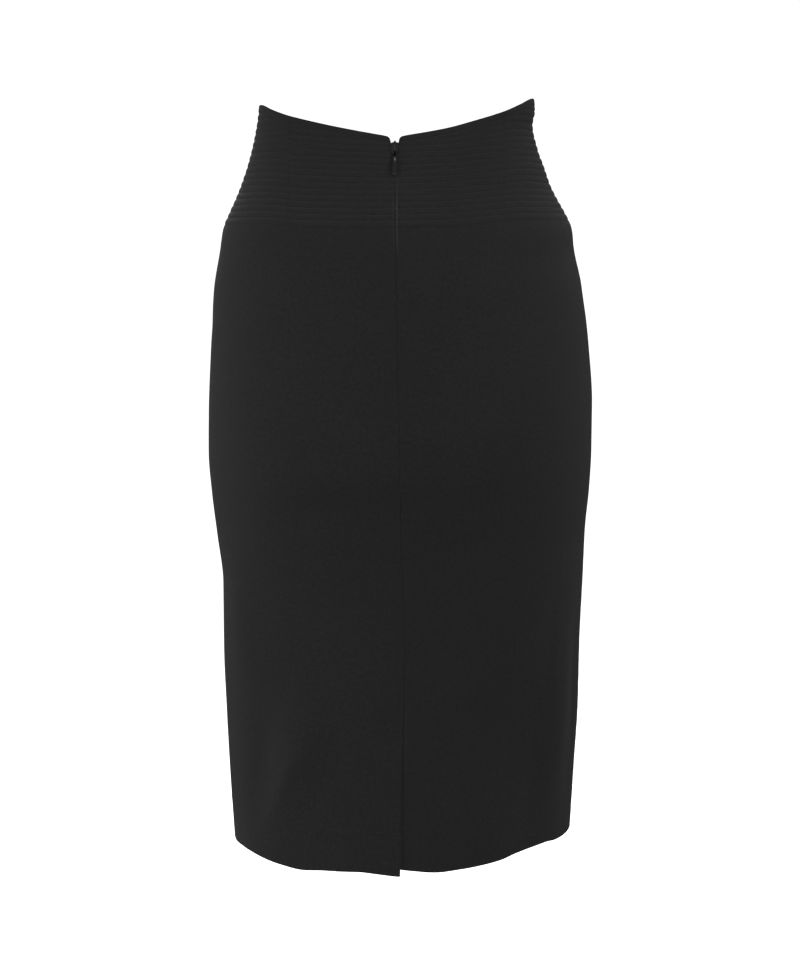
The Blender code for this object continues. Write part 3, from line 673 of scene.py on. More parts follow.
def row_lengths(whole, pitch):
    """Cloth below each row, for columns of a given whole length: rows, border, top edge."""
    ribs = math.ceil((whole / pitch).max())
    rows = (np.arange(ribs)[:, None] + RIB_PARTS).ravel() * pitch[:, None]
    limit = whole[:, None] - BORDER_STEPS[0] - 0.0002
    ending = whole[:, None] - np.concatenate([BORDER_STEPS, TOP_STEPS])
    return np.concatenate([np.minimum(rows, limit), ending], axis=1)


def yoke_grid(stations, lips):
    """Angles, heights and marks of a yoke panel's grid."""
    at_seam = angle_at(stations, WAIST_SEAM)
    low = waist_seam(at_seam) + SEAM_GAP / 2
    share = read(YOKE_LINES, "pitch", abs((at_seam + 180) % 360 - 180))
    tops = top_height(at_seam)
    for _ in range(4):
        tops = top_height(angle_at(stations, tops))
    heights = low[:, None] + (tops - low)[:, None] * np.linspace(0, 1, 160)
    climb = run_along(cloth(angle_at(stations[:, None], heights), heights), 1)
    lengths = row_lengths(climb[:, -1], RIB_PITCH * share)
    height = np.array([np.interp(row, up, high) for row, up, high in zip(lengths, climb, heights)])
    angle = angle_at(stations[:, None], height)
    across = (stations - stations[0]) / (stations[-1] - stations[0])
    opening = read(ZIP_OPENING, "half_gap", top_height(0.0) - height)
    first, last = (opening if lip else SEAM_GAP / 2 for lip in lips)
    angle = angle + (first * (1 - across[:, None]) - last * across[:, None]) / reach_of(angle, height)
    run = run_along(plain_form(angle, height), 0)
    from_first, to_last = run, run[-1] - run
    marks = {
        "climb": lengths / share[:, None],
        "below": climb[:, -1:] - lengths,
        "to_seam": np.minimum(from_first, to_last),
        "out": outward(angle, height),
        "uv": np.stack([run - run[-1] / 2, lengths], axis=2),
    }
    return angle, height, from_first, to_last, marks


def channel_lines(outer, marks):
    """The stitching lines of a panel: each row's channel, and the one under the border."""
    ribs = outer.shape[1] - len(BORDER_STEPS) - len(TOP_STEPS)
    clear = marks["to_seam"] > 0.0010
    lines = []
    for row in [*range(len(RIB_PARTS), ribs, len(RIB_PARTS)), ribs + 2]:
        whole = marks["below"][:, row] > BORDER_STEPS[0] + 0.0004
        there = np.flatnonzero(clear[:, row] & (whole | (row > ribs)))
        for run in np.split(there, np.flatnonzero(np.diff(there) > 1) + 1):
            if len(run) > 2:
                lines.append(outer[run, row] + LIFT * marks["out"][run, row])
    return lines


LEFT_LIP, RIGHT_LIP = 0.35, 1.0  # the right lip is rolled over more


def lips_of(panel):
    """A panel's share of a lip at its first and last edge. Only the edges at the zip have one."""
    return LEFT_LIP * (panel.low == 0.0), RIGHT_LIP * (panel.high == 0.0)


def yoke_wall(panel):
    """The plain wall of a yoke panel between two stations, its outer face not yet raised."""
    stations = panel.low + (panel.high - panel.low) * spaced(panel.width, YOKE_COLUMNS)
    lips = lips_of(panel)
    angle, height, from_first, to_last, marks = yoke_grid(stations, lips)
    move, marks["wear_and_painted_light"] = beside_seams(from_first, to_last, height, panel.seed, lips, UPRIGHT_TUCK)
    outer = cloth(angle, height, move)
    inner = cloth(angle, height, -YOKE_WALL)
    bead = (*(0.8 if lip else 0.3 for lip in lips), 0.3, 0.9)
    cut = flat_cut(cloth(angle, height, 0.0, folds=()))
    return make_wall(panel.node + "_cloth", outer, inner, marks, bead), cut, channel_lines(outer, marks)


Panel = namedtuple("Panel", "node low high width seed flap", defaults=[no_flap])
YOKE_PANELS = (
    Panel("yoke_back_left", 0.0, SEAM_STATION, 0.098, 1),
    Panel("yoke_side_left", SEAM_STATION, 1.0, 0.127, 2),
    Panel("yoke_front", 1.0, 3.0, 0.407, 3),
    Panel("yoke_side_right", -1.0, -SEAM_STATION, 0.127, 4),
    Panel("yoke_back_right", -SEAM_STATION, 0.0, 0.101, 5),
)
yoke_meshes, cuts, channels = {}, {}, []
for panel in YOKE_PANELS:
    yoke_meshes[panel.node], cuts[panel.node], lines = yoke_wall(panel)
    channels += lines
    print(panel.node, "cut, mm:", [round(1000 * v) for v in cuts[panel.node][:2]])

# %% [markdown]
# ## Small helpers for node trees
#
# Materials and Geometry Nodes are both trees of nodes. Writing every link by hand is long,
# so a few helpers add a node, do a sum, start and end a tree, and run a finished tree on a
# piece. The last one sets the tree's inputs by their identifiers, takes the result as a
# plain mesh and removes the modifier, so that nothing live is left on the piece.

# %% Helpers for trees
def add_node(tree, kind, inputs=None, **settings):
    """Adds a node and links or sets its inputs, by name or number."""
    made = tree.nodes.new(kind)
    for key, value in settings.items():
        setattr(made, key, value)
    for key, value in (inputs or {}).items():
        if isinstance(value, bpy.types.NodeSocket):
            tree.links.new(value, made.inputs[key])
        else:
            made.inputs[key].default_value = value
    return made


def sum_of(tree, operation, a, b=0.0, c=0.0):
    """The result of one Math node."""
    return add_node(tree, "ShaderNodeMath", {0: a, 1: b, 2: c}, operation=operation).outputs[0]


def between(tree, value, low, high, out_low=0.0, out_high=1.0):
    """A value mapped smoothly from one range to another."""
    inputs = {0: value, 1: low, 2: high, 3: out_low, 4: out_high}
    return add_node(tree, "ShaderNodeMapRange", inputs, interpolation_type="SMOOTHSTEP").outputs[0]


def geometry_tree(name, sizes):
    """A Geometry Nodes tree with named inputs. Returns the tree and its input node."""
    tree = bpy.data.node_groups.new(name, "GeometryNodeTree")
    kinds = {float: "NodeSocketFloat", int: "NodeSocketInt"}
    tree.interface.new_socket("Geometry", in_out="INPUT", socket_type="NodeSocketGeometry")
    for key, value in sizes.items():
        socket = tree.interface.new_socket(key, in_out="INPUT", socket_type=kinds[type(value)])
        socket.default_value = value
    tree.interface.new_socket("Finish", in_out="INPUT", socket_type="NodeSocketMaterial")
    tree.interface.new_socket("Geometry", in_out="OUTPUT", socket_type="NodeSocketGeometry")
    return tree, tree.nodes.new("NodeGroupInput")


def end_tree(tree, given, geometry):
    """Realizes instances, sets the material and ends the tree."""
    real = add_node(tree, "GeometryNodeRealizeInstances", {0: geometry}).outputs[0]
    inputs = {"Geometry": real, "Material": given.outputs["Finish"]}
    done = add_node(tree, "GeometryNodeSetMaterial", inputs).outputs[0]
    smooth = add_node(tree, "GeometryNodeSetShadeSmooth", {0: done}).outputs[0]
    add_node(tree, "NodeGroupOutput", {0: smooth})


def instance_on(tree, points, thing, turn, scale=(1.0, 1.0, 1.0)):
    """The same thing at every point of a line, turned along it."""
    inputs = {"Points": points, "Instance": thing, "Rotation": turn, "Scale": scale}
    return add_node(tree, "GeometryNodeInstanceOnPoints", inputs).outputs[0]


def run_tree(thing, tree, **sizes):
    """Runs a tree on a piece, and keeps the result as a plain mesh."""
    modifier = thing.modifiers.new(tree.name, "NODES")
    modifier.node_group = tree
    for socket in tree.interface.items_tree:
        key = socket.name.lower()
        if socket.in_out == "INPUT" and key in sizes:
            modifier[socket.identifier] = sizes[key]
    graph = bpy.context.evaluated_depsgraph_get()
    shown = thing.evaluated_get(graph)
    mesh = bpy.data.meshes.new_from_object(shown, preserve_all_data_layers=True, depsgraph=graph)
    thing.modifiers.clear()
    mesh.name = thing.name
    thing.data = mesh


# %% [markdown]
# ## The crepe
#
# Crepe is a matte cloth of tightly twisted yarn: its surface is pebbly, it swallows light,
# and only its raised fibres catch a soft sheen at a grazing angle. An image texture could
# show it, but it would stretch and tile. Nodes on the metre-sized UV map give a fine weave,
# the crinkle of the twisted yarn and a faint unevenness of the dye, at their real sizes.

# %% The cloth's finish
TURN = 2 * math.pi
YARN, WANDER, WEAVE_SHARE = 0.00042, 5.0, 0.22  # from one yarn to the next, and how uneven
# Each noise: its scale on a map or body in metres, its detail and its roughness.
CRINKLE = (900.0, 3.0, 0.62)
PEBBLE = (420.0, 2.0, 0.6)
FLECK = (330.0, 3.0, 0.7)
DYE = (16.0, 3.0, 0.55)
CREPE_TONES = ((0.0118, 0.0113, 0.0114, 1.0), (0.0178, 0.0170, 0.0169, 1.0))
PAINTED_LIGHT_TONE = (0.034, 0.033, 0.033, 1.0)  # on the lips beside the zip, and along the vent
CREPE_SOCKETS = {
    "Specular IOR Level": 0.16,
    "Sheen Weight": 0.11,
    "Sheen Roughness": 0.42,
    "Sheen Tint": (0.92, 0.89, 0.86, 1.0),
}


def noise_of(tree, place, scale, detail=2.0, roughness=0.5):
    """Noise at a place, round 0.5."""
    inputs = {"Vector": place, "Scale": scale, "Detail": detail, "Roughness": roughness}
    return add_node(tree, "ShaderNodeTexNoise", inputs).outputs[0]


def blend_of(tree, share, dark, light):
    """A colour between two."""
    return add_node(tree, "ShaderNodeMix", {0: share, 6: dark, 7: light}, data_type="RGBA").outputs[2]


def bump_of(tree, height, strength, distance):
    """The way a surface faces where a fine height tilts it."""
    inputs = {"Strength": strength, "Distance": distance, "Height": height}
    return add_node(tree, "ShaderNodeBump", inputs).outputs[0]


def map_of(tree):
    """A place on a piece's cloth, and its two lengths, across and along."""
    place = add_node(tree, "ShaderNodeUVMap", uv_map="cloth").outputs[0]
    return place, *add_node(tree, "ShaderNodeSeparateXYZ", {0: place}).outputs[:2]


def body_of(tree):
    """A place in the skirt."""
    return add_node(tree, "ShaderNodeTexCoord").outputs["Object"]


def wear_and_painted_light_of(tree):
    """How worn a place is and how much light is painted on it, as its piece keeps it."""
    return add_node(tree, "ShaderNodeAttribute", attribute_name="wear_and_painted_light").outputs["Fac"]


def new_finish(name, sockets):
    """A material with its Principled shader's plain values set on its own sockets."""
    finish = bpy.data.materials.new(name)
    finish.use_nodes = True
    shader = finish.node_tree.nodes["Principled BSDF"]
    for key, value in sockets.items():
        shader.inputs[key].default_value = value
    return finish, finish.node_tree


def feed(tree, sockets):
    """Links outputs to the inputs of a material's shader."""
    for key, output in sockets.items():
        tree.links.new(output, tree.nodes["Principled BSDF"].inputs[key])


def crepe_finish(name, bump):
    """Pebbly black crepe on the pieces' UV map."""
    finish, tree = new_finish(name, CREPE_SOCKETS)
    place, *ways = map_of(tree)
    sums = partial(sum_of, tree)
    crinkle, fleck = noise_of(tree, place, *CRINKLE), noise_of(tree, place, *FLECK)
    wander = sums("MULTIPLY", crinkle, WANDER)
    warp, weft = (sums("SINE", sums("MULTIPLY_ADD", way, TURN / YARN, wander)) for way in ways)
    pebbles = sums("ADD", crinkle, noise_of(tree, place, *PEBBLE))
    height = sums("MULTIPLY_ADD", sums("MULTIPLY", warp, weft), WEAVE_SHARE, pebbles)
    dye = noise_of(tree, body_of(tree), *DYE)
    share = sums("MULTIPLY_ADD", fleck, 1.15, sums("MULTIPLY_ADD", dye, 0.5, -0.33))
    # Where its piece keeps it, the base colour pales: a painted highlight on the zip's lips, painted
    # light along the vent.
    sockets = {
        "Normal": bump_of(tree, height, bump, 0.00035),
        "Base Color": blend_of(tree, wear_and_painted_light_of(tree), blend_of(tree, share, *CREPE_TONES), PAINTED_LIGHT_TONE),
        "Roughness": between(tree, fleck, 0.3, 0.7, 0.93, 0.80),
    }
    feed(tree, sockets)
    return finish


crepe = crepe_finish("crepe", 0.45)
quilted_crepe = crepe_finish("quilted_crepe", 0.40)
print("cloth finishes:", crepe.name, quilted_crepe.name)

# %% [markdown]
# ## Raising the quilted rows
#
# The tree reads what the walls keep: the cloth below a point, the cloth above it to the top
# edge, and the distance to the nearest upright seam. The puff is highest midway between two
# rows of stitches, dies away at the plain border, and is pressed flatter into the seams. A
# little noise with a fixed seed makes the filling uneven, as it is in real quilting.

# %% The quilting tree
QUILT = {
    "Pitch": RIB_PITCH,
    "Rise": RIB_RISE,
    "Puff": 2.3,
    "Border": BORDER,
    "Border Rise": 0.0008,
    "Rows Fade": 0.0009,
    "Border Fade": 0.0018,
    "Seam Reach": 0.0030,
    "Seam Share": 0.80,
    "Unevenness": 0.30,
    "Lump Scale": 70.0,
    "Seed": 4.0,
}
quilting, given = geometry_tree("quilting", QUILT)
size = given.outputs
sums, ranged = partial(sum_of, quilting), partial(between, quilting)


def kept(name, kind="FLOAT"):
    """A value that the wall keeps at each of its points."""
    inputs = {"Name": name}
    return add_node(quilting, "GeometryNodeInputNamedAttribute", inputs, data_type=kind).outputs[0]


part = sums("FRACT", sums("DIVIDE", kept("climb"), size["Pitch"]))
aside = sums("ABSOLUTE", sums("MULTIPLY_ADD", part, 2.0, -1.0))
puff = sums("SUBTRACT", 1.0, sums("POWER", aside, size["Puff"]))
rows_end = sums("ADD", size["Border"], size["Rows Fade"])
border_starts = sums("SUBTRACT", size["Border"], size["Border Fade"])
in_rows = ranged(kept("below"), size["Border"], rows_end)
in_border = ranged(kept("below"), border_starts, size["Border"], 1.0, 0.0)
puff = sums("MULTIPLY", sums("MULTIPLY", puff, in_rows), size["Rise"])
puff = sums("MULTIPLY_ADD", in_border, size["Border Rise"], puff)
near_seam = ranged(kept("to_seam"), 0.0, size["Seam Reach"], size["Seam Share"], 1.0)
place = add_node(quilting, "GeometryNodeInputPosition").outputs[0]
inputs = {"Vector": place, "W": size["Seed"], "Scale": size["Lump Scale"], "Detail": 1.0}
filling = add_node(quilting, "ShaderNodeTexNoise", inputs, noise_dimensions="4D").outputs[0]
uneven = sums("MULTIPLY_ADD", sums("SUBTRACT", filling, 0.5), size["Unevenness"], 1.0)
for share in (near_seam, uneven, kept("outer")):
    puff = sums("MULTIPLY", puff, share)
inputs = {0: kept("out", "FLOAT_VECTOR"), 3: puff}
offset = add_node(quilting, "ShaderNodeVectorMath", inputs, operation="SCALE").outputs[0]
inputs = {"Geometry": size["Geometry"], "Offset": offset}
end_tree(quilting, given, add_node(quilting, "GeometryNodeSetPosition", inputs).outputs[0])
print("quilting tree:", len(quilting.nodes), "nodes")

# %% Raise the rows of each yoke panel
YOKE_OF = {}
for node, mesh in yoke_meshes.items():
    YOKE_OF[node] = add_piece(mesh)
    run_tree(YOKE_OF[node], quilting, pitch=RIB_PITCH, rise=RIB_RISE, finish=quilted_crepe)
    print(node, triangles(YOKE_OF[node]), "triangles")

# %% [markdown]
# ## The skirt's panels
#
# Three panels hang from the yoke: one front and two backs. They could be one tube, but a
# real skirt shows where its pieces meet, and at the vent two edges pass each other. Each
# panel follows the same form as its solid, with the creases added, and its inner face steps
# in at the hem, where the cloth is turned up. A faint ridge outside shows where it ends.

# %% The skirt's walls
SKIRT_WALL, HEM_WALL, HEM_DEPTH = 0.0012, 0.0026, 0.036
TURN_STEP = 0.0012  # the thickness changes over this height
TURN_RIDGE, TURN_RIDGE_REACH = 0.00014, 0.0016
HEM_STEPS = np.array([0, 0.0003, 0.0008, 0.0016, 0.0030])
SKIRT_GRID = 0.0034
FREE_BEAD, SEWN_BEAD = 0.9, 0.3  # how round a free edge is, and a sewn one


def wall_at(levels, wall=SKIRT_WALL):
    """Thickness: two layers where the hem is turned up."""
    return wall + (HEM_WALL - wall) * ease((HEM + HEM_DEPTH - levels) / TURN_STEP)


def skirt_levels():
    """Heights of the skirt's rows of points, closest at the hem and where its turning ends."""
    low, high = HEM, WAIST_SEAM - SEAM_GAP / 2
    levels = low + (high - low) * spaced(high - low, SKIRT_GRID, first=HEM_STEPS)
    turned = HEM + HEM_DEPTH - TURN_STEP * np.array([1.0, 0.5, 0.0, -0.5])
    return np.unique(np.concatenate([levels, turned]))


def panel_grid(stations, levels):
    """Angles, heights and marks of a skirt panel's grid. The rows follow both its ends."""
    at_seam = angle_at(stations, WAIST_SEAM)[:, None]
    near_seam = ease((levels - WAIST_SEAM + SEAM_EASE) / SEAM_EASE)
    near_hem = ease((HEM + HEM_EASE - levels) / HEM_EASE)
    height = levels + near_seam * (waist_seam(at_seam) - WAIST_SEAM)
    height = height - near_hem * by_side(HEM_LINE, at_seam)
    angle = angle_at(stations[:, None], height)
    across = ((stations - stations[0]) / (stations[-1] - stations[0]))[:, None]
    angle = angle + SEAM_GAP / 2 * (1 - 2 * across) / reach_of(angle, height)
    face = plain_form(angle, height)
    run = run_along(face, 0)
    marks = {"uv": np.stack([run - run[-1] / 2, run_along(face, 1)], axis=2)}
    return angle, height, run, run[-1] - run, marks


def skirt_wall(panel):
    """The wall of a skirt panel between two stations."""
    stations = panel.low + (panel.high - panel.low) * spaced(panel.width, SKIRT_GRID)
    levels = skirt_levels()
    lips = lips_of(panel)
    angle, height, from_first, to_last, marks = panel_grid(stations, levels)
    move, marks["wear_and_painted_light"] = beside_seams(from_first, to_last, height, panel.seed, lips)
    below_seam = height[:, -1:] - height
    move += tuck(below_seam) + pucker(below_seam, angle / 600, panel.seed)
    move += TURN_RIDGE * bell((levels - HEM - HEM_DEPTH) / TURN_RIDGE_REACH)
    # Painted light along the vent's edge, over the shade of its recess.
    if lips[1]:
        marks["wear_and_painted_light"] += vent_painted_light(to_last, height)
    outer = cloth(angle, height, move, panel.flap)
    inner = cloth(angle, height, -wall_at(levels), panel.flap)
    free = np.where(height[0] < VENT_TOP, FREE_BEAD, SEWN_BEAD)
    bead = (*(free if lip else SEWN_BEAD for lip in lips), FREE_BEAD, SEWN_BEAD)
    cut = flat_cut(cloth(angle, height, 0.0, panel.flap, folds=()))
    return make_wall(panel.node + "_cloth", outer, inner, marks, bead), cut, inner


SKIRT_PANELS = (
    Panel("skirt_back_left", 0.0, 1.0, 0.256, 6, left_flap),
    Panel("skirt_front", 1.0, 3.0, 0.459, 7),
    Panel("skirt_back_right", -1.0, 0.0, 0.257, 8, right_flap),
)
SKIRT_OF, inner_faces = {}, {}
for panel in SKIRT_PANELS:
    mesh, cuts[panel.node], inner_faces[panel.node] = skirt_wall(panel)
    SKIRT_OF[panel.node] = add_piece(mesh, crepe)
    print(panel.node, triangles(SKIRT_OF[panel.node]), "triangles")
    print("  cut, mm:", [round(1000 * v) for v in cuts[panel.node][:2]])

# %% The layer behind the vent
UNDERLAP, UNDERLAP_WIDTH, UNDERLAP_GRID = (-0.06, 0.21), 0.055, 0.0036  # first its stations
UNDERLAP_ABOVE, UNDERLAP_SHORT, UNDERLAP_BEHIND = 0.012, 0.004, 0.0010
FLAP_WALL = 0.0014


def underlap_wall():
    """The underlap follows the lower flap's fall, just behind both flaps."""
    stations = UNDERLAP[0] + (UNDERLAP[1] - UNDERLAP[0]) * spaced(UNDERLAP_WIDTH, SKIRT_GRID)
    low, high = HEM + UNDERLAP_SHORT, VENT_TOP + UNDERLAP_ABOVE
    levels = low + (high - low) * spaced(high - low, UNDERLAP_GRID, first=HEM_STEPS, last=HEM_STEPS)
    angle, height, from_first, to_last, marks = panel_grid(stations, levels)
    behind = wall_at(levels, FLAP_WALL) + UNDERLAP_BEHIND
    edge = tuck(from_first) + tuck(to_last)
    outer = cloth(angle, height, edge - behind, underlap_fall)
    inner = cloth(angle, height, -behind - SKIRT_WALL, underlap_fall)
    cut = flat_cut(cloth(angle, height, 0.0, folds=()))
    return make_wall("vent_underlap_cloth", outer, inner, marks, (0.8, 0.8, 0.9, 0.8)), cut


mesh, cuts["vent_underlap"] = underlap_wall()
SKIRT_OF["vent_underlap"] = add_piece(mesh, crepe)
print("underlap", triangles(SKIRT_OF["vent_underlap"]), "triangles")

# %% [markdown]
# ## The stitches
#
# Quilting is held by rows of small stitches that lie at the bottom of the channels, and the
# hem by tiny ones inside. There are thousands, so they are a job for Geometry Nodes: a line
# is cut into even steps, and at each step stands one small bead of thread, turned along the
# line and a little uneven. Each bead has only twenty faces, because no one counts them.

# %% The thread and its tree
thread_sockets = {
    "Base Color": (0.013, 0.0126, 0.0126, 1.0),
    "Specular IOR Level": 0.3,
    "Sheen Weight": 0.1,
}
thread, tree = new_finish("thread", thread_sockets)
body = body_of(tree)
inputs = {"Vector": body, "Scale": 700.0, "Distortion": 1.0}
twist = add_node(tree, "ShaderNodeTexWave", inputs, bands_direction="DIAGONAL").outputs["Fac"]
sockets = {
    "Normal": bump_of(tree, twist, 0.5, 0.0001),
    "Roughness": between(tree, noise_of(tree, body, 900.0), 0.3, 0.7, 0.5, 0.7),
}
feed(tree, sockets)


def turned_rows(tree, line, spacing):
    """A line cut into even steps, and the turn that lays a thing's Z axis along it."""
    curve = add_node(tree, "GeometryNodeMeshToCurve", {0: line}).outputs[0]
    inputs = {"Curve": curve, "Length": spacing}
    steps = add_node(tree, "GeometryNodeResampleCurve", inputs, mode="LENGTH").outputs[0]
    tangent = add_node(tree, "GeometryNodeInputTangent").outputs[0]
    inputs = {"Vector": tangent}
    return steps, add_node(tree, "FunctionNodeAlignRotationToVector", inputs, axis="Z").outputs[0]


STITCH = {"Spacing": 0.0025, "Length": 0.0021, "Thickness": 0.00036, "Unevenness": 0.12, "Seed": 11}
stitching, given = geometry_tree("stitching", STITCH)
size = given.outputs
points, turn = turned_rows(stitching, size["Geometry"], size["Spacing"])
inputs = {"Segments": 5, "Rings": 3, "Radius": 0.5}
bead = add_node(stitching, "GeometryNodeMeshUVSphere", inputs).outputs[0]
least = sum_of(stitching, "SUBTRACT", 1.0, size["Unevenness"])
inputs = {2: least, 3: 1.0, "Seed": size["Seed"]}
chance = add_node(stitching, "FunctionNodeRandomValue", inputs).outputs[1]
length = sum_of(stitching, "MULTIPLY", size["Length"], chance)
inputs = {0: size["Thickness"], 1: size["Thickness"], 2: length}
shape = add_node(stitching, "ShaderNodeCombineXYZ", inputs).outputs[0]
end_tree(stitching, given, instance_on(stitching, points, bead, turn, shape))
print("stitching tree:", len(stitching.nodes), "nodes")


def lines_mesh(name, lines):
    """One mesh of edges from several lines of points."""
    points, edges = [], []
    for line in lines:
        edges += [(len(points) + k, len(points) + k + 1) for k in range(len(line) - 1)]
        points += [tuple(point) for point in line]
    mesh = bpy.data.meshes.new(name)
    mesh.from_pydata(points, edges, [])
    return link(name, mesh)

# %% Sew the yoke, the hem and the top of the vent
yoke_stitches = lines_mesh("yoke_stitches", channels)
run_tree(yoke_stitches, stitching, finish=thread)
print("yoke stitches:", triangles(yoke_stitches), "triangles,", len(channels), "lines")

hem_row = int(np.argmin(abs(skirt_levels() - HEM - HEM_DEPTH)))
hem_stitches = lines_mesh("hem_stitches", [face[1:-1, hem_row] for face in inner_faces.values()])
run_tree(hem_stitches, stitching, spacing=0.0062, length=0.0030, thickness=0.0003, finish=thread)
print("hem stitches:", triangles(hem_stitches), "triangles")

VENT_LINE = table(
    "across height",
    (0.0012, -0.4185),
    (0.008, -0.4235),
    (0.022, -0.4295),
    (0.037, -0.4355),
    (0.056, -0.4375),
)
VENT_SUNK = -0.00002  # the vent's stitches are pulled into the cloth
at = np.linspace(0, len(VENT_LINE) - 1, 25)
across, heights = (np.interp(at, range(len(VENT_LINE)), column) for column in zip(*VENT_LINE))
per_metre = 1 / np.linalg.norm(plain_form(1.0, heights) - plain_form(0.0, heights), axis=-1)
vent_line = cloth(across * per_metre, heights, VENT_SUNK, left_flap)
vent_stitches = lines_mesh("vent_stitches", [vent_line])
run_tree(vent_stitches, stitching, spacing=0.0034, length=0.0014, thickness=0.00017, finish=thread)
print("vent stitches:", triangles(vent_stitches), "triangles")

# %% [markdown]
# ## The zip
#
# A concealed zip has its coil on the inside: from outside only the slider, its pull and, in
# the notch above it, the ends of the two tapes show. The tapes are two thin woven strips.
# The coil is one loop of nylon after another, which Geometry Nodes set along each edge.

# %% The tapes
TAPE_WIDTH, TAPE_WALL = 0.012, 0.0008
TAPE_DEPTH = 0.0024  # from the yoke's face in to the tape
TAPE_SLANT, TAPE_RIB = 0.0015, 0.0005
TAPE_OPENING = table(
    "depth half_gap", (0.000, 0.0030), (0.003, 0.0019), (0.011, 0.0017), (0.018, SEAM_GAP / 2)
)
COIL_OUT, COIL_DEEP = 0.0007, 0.0005  # the coil's middle, from the tape's edge and its face
TAPE_TONES = ((0.0100, 0.0098, 0.0098, 1.0), (0.0170, 0.0165, 0.0165, 1.0))
sockets = {"Roughness": 0.85, "Specular IOR Level": 0.2, "Sheen Weight": 0.15}
tape_finish, tree = new_finish("zip_tape", sockets)
place, across, along = map_of(tree)
sums = partial(sum_of, tree)
slanted = sums("ADD", along, sums("PINGPONG", across, TAPE_SLANT))
ribs = sums("SINE", sums("MULTIPLY", slanted, TURN / TAPE_RIB))
sockets = {
    "Normal": bump_of(tree, ribs, 0.6, 0.0002),
    "Base Color": blend_of(tree, noise_of(tree, place, 500.0), *TAPE_TONES),
}
feed(tree, sockets)


def zip_wall(name, side):
    """One tape, and the line its coil follows. side is +1 on the wearer's left."""
    heights = np.linspace(ZIP_END, ZIP_TOP, 120)
    gap = read(TAPE_OPENING, "half_gap", ZIP_TOP - heights)
    across = gap + (TAPE_WIDTH - gap) * np.linspace(0, 1, 13)[:, None]
    width = section("left", heights)
    height = np.broadcast_to(heights, across.shape)
    angle = side * np.degrees(across / width)
    outer = cloth(angle, height, -TAPE_DEPTH)
    inner = cloth(angle, height, -TAPE_DEPTH - TAPE_WALL)
    marks = {"uv": np.stack([across, run_along(outer, 1)], axis=2)}
    coil = cloth(side * np.degrees((gap + COIL_OUT) / width), heights, -TAPE_DEPTH - COIL_DEEP)
    if side < 0:
        outer, inner, marks = outer[::-1], inner[::-1], {"uv": marks["uv"][::-1]}
    return make_wall(name, outer, inner, marks, (0.8, 0.8, 0.8, 0.8)), coil, flat_cut(outer)


TAPE_OF, coils = {}, []
for node, side in (("zip_tape_left", 1), ("zip_tape_right", -1)):
    mesh, coil, cuts[node] = zip_wall(node + "_cloth", side)
    TAPE_OF[node] = add_piece(mesh, tape_finish)
    coils.append(coil)
print("zip tapes:", [triangles(tape) for tape in TAPE_OF.values()], "triangles")

# %% The coil
NYLON_TONES = ((0.010, 0.010, 0.010, 1.0), (0.018, 0.018, 0.018, 1.0))
nylon, tree = new_finish("nylon", {"Roughness": 0.38, "Specular IOR Level": 0.4})
feed(tree, {"Base Color": blend_of(tree, noise_of(tree, body_of(tree), 300.0), *NYLON_TONES)})

COIL = {"Spacing": 0.0011, "Radius": 0.0009, "Wire": 0.00026}
coiling, given = geometry_tree("coiling", COIL)
size = given.outputs
points, turn = turned_rows(coiling, size["Geometry"], size["Spacing"])
sides = ({"Resolution": 10, "Radius": size["Radius"]}, {"Resolution": 5, "Radius": size["Wire"]})
circles = [add_node(coiling, "GeometryNodeCurvePrimitiveCircle", inputs) for inputs in sides]
ring, wire = (circle.outputs[0] for circle in circles)
inputs = {"Curve": ring, "Profile Curve": wire}
loop = add_node(coiling, "GeometryNodeCurveToMesh", inputs).outputs[0]
end_tree(coiling, given, instance_on(coiling, points, loop, turn))
coils[1] = (coils[1][:-1] + coils[1][1:]) / 2  # one side's loops lie between the other's
zip_coil = lines_mesh("zip_coil", coils)
run_tree(zip_coil, coiling, finish=nylon)
print("zip coil:", triangles(zip_coil), "triangles")

# %% [markdown]
# ## The slider and its pull
#
# Both are small castings under black enamel. The slider is a plate with a crown at its top,
# a body behind the tapes, and a bridge that holds the pull. The pull is a drop with a
# window. A flat cut-out would look stamped, so the pull is built of rings from its edge to
# its window, and each ring's height follows a rounded section: its face is crowned, and
# catches one soft light.

# %% Enamel
# The pale tone is worn enamel on the rims, the neck and the slider's face, a painted glint on the
# pull's boss and a painted highlight under the pull's bar.
ENAMEL_TONES = ((0.0014, 0.0014, 0.0016, 1.0), (0.520, 0.506, 0.492, 1.0))  # whole, worn off
sockets = {"Specular IOR Level": 0.32, "Coat Weight": 0.06, "Coat Roughness": 0.15}
enamel, tree = new_finish("black_enamel", sockets)
body = body_of(tree)
wear_and_highlight_share = sum_of(tree, "MULTIPLY", wear_and_painted_light_of(tree), noise_of(tree, body, 800.0))
sockets = {
    "Normal": bump_of(tree, noise_of(tree, body, 1400.0, 3.0), 0.12, 0.0001),
    "Roughness": between(tree, noise_of(tree, body, 500.0), 0.35, 0.65, 0.28, 0.38),
    "Base Color": blend_of(tree, wear_and_highlight_share, *ENAMEL_TONES),
}
feed(tree, sockets)
print("enamel:", len(tree.nodes), "nodes")

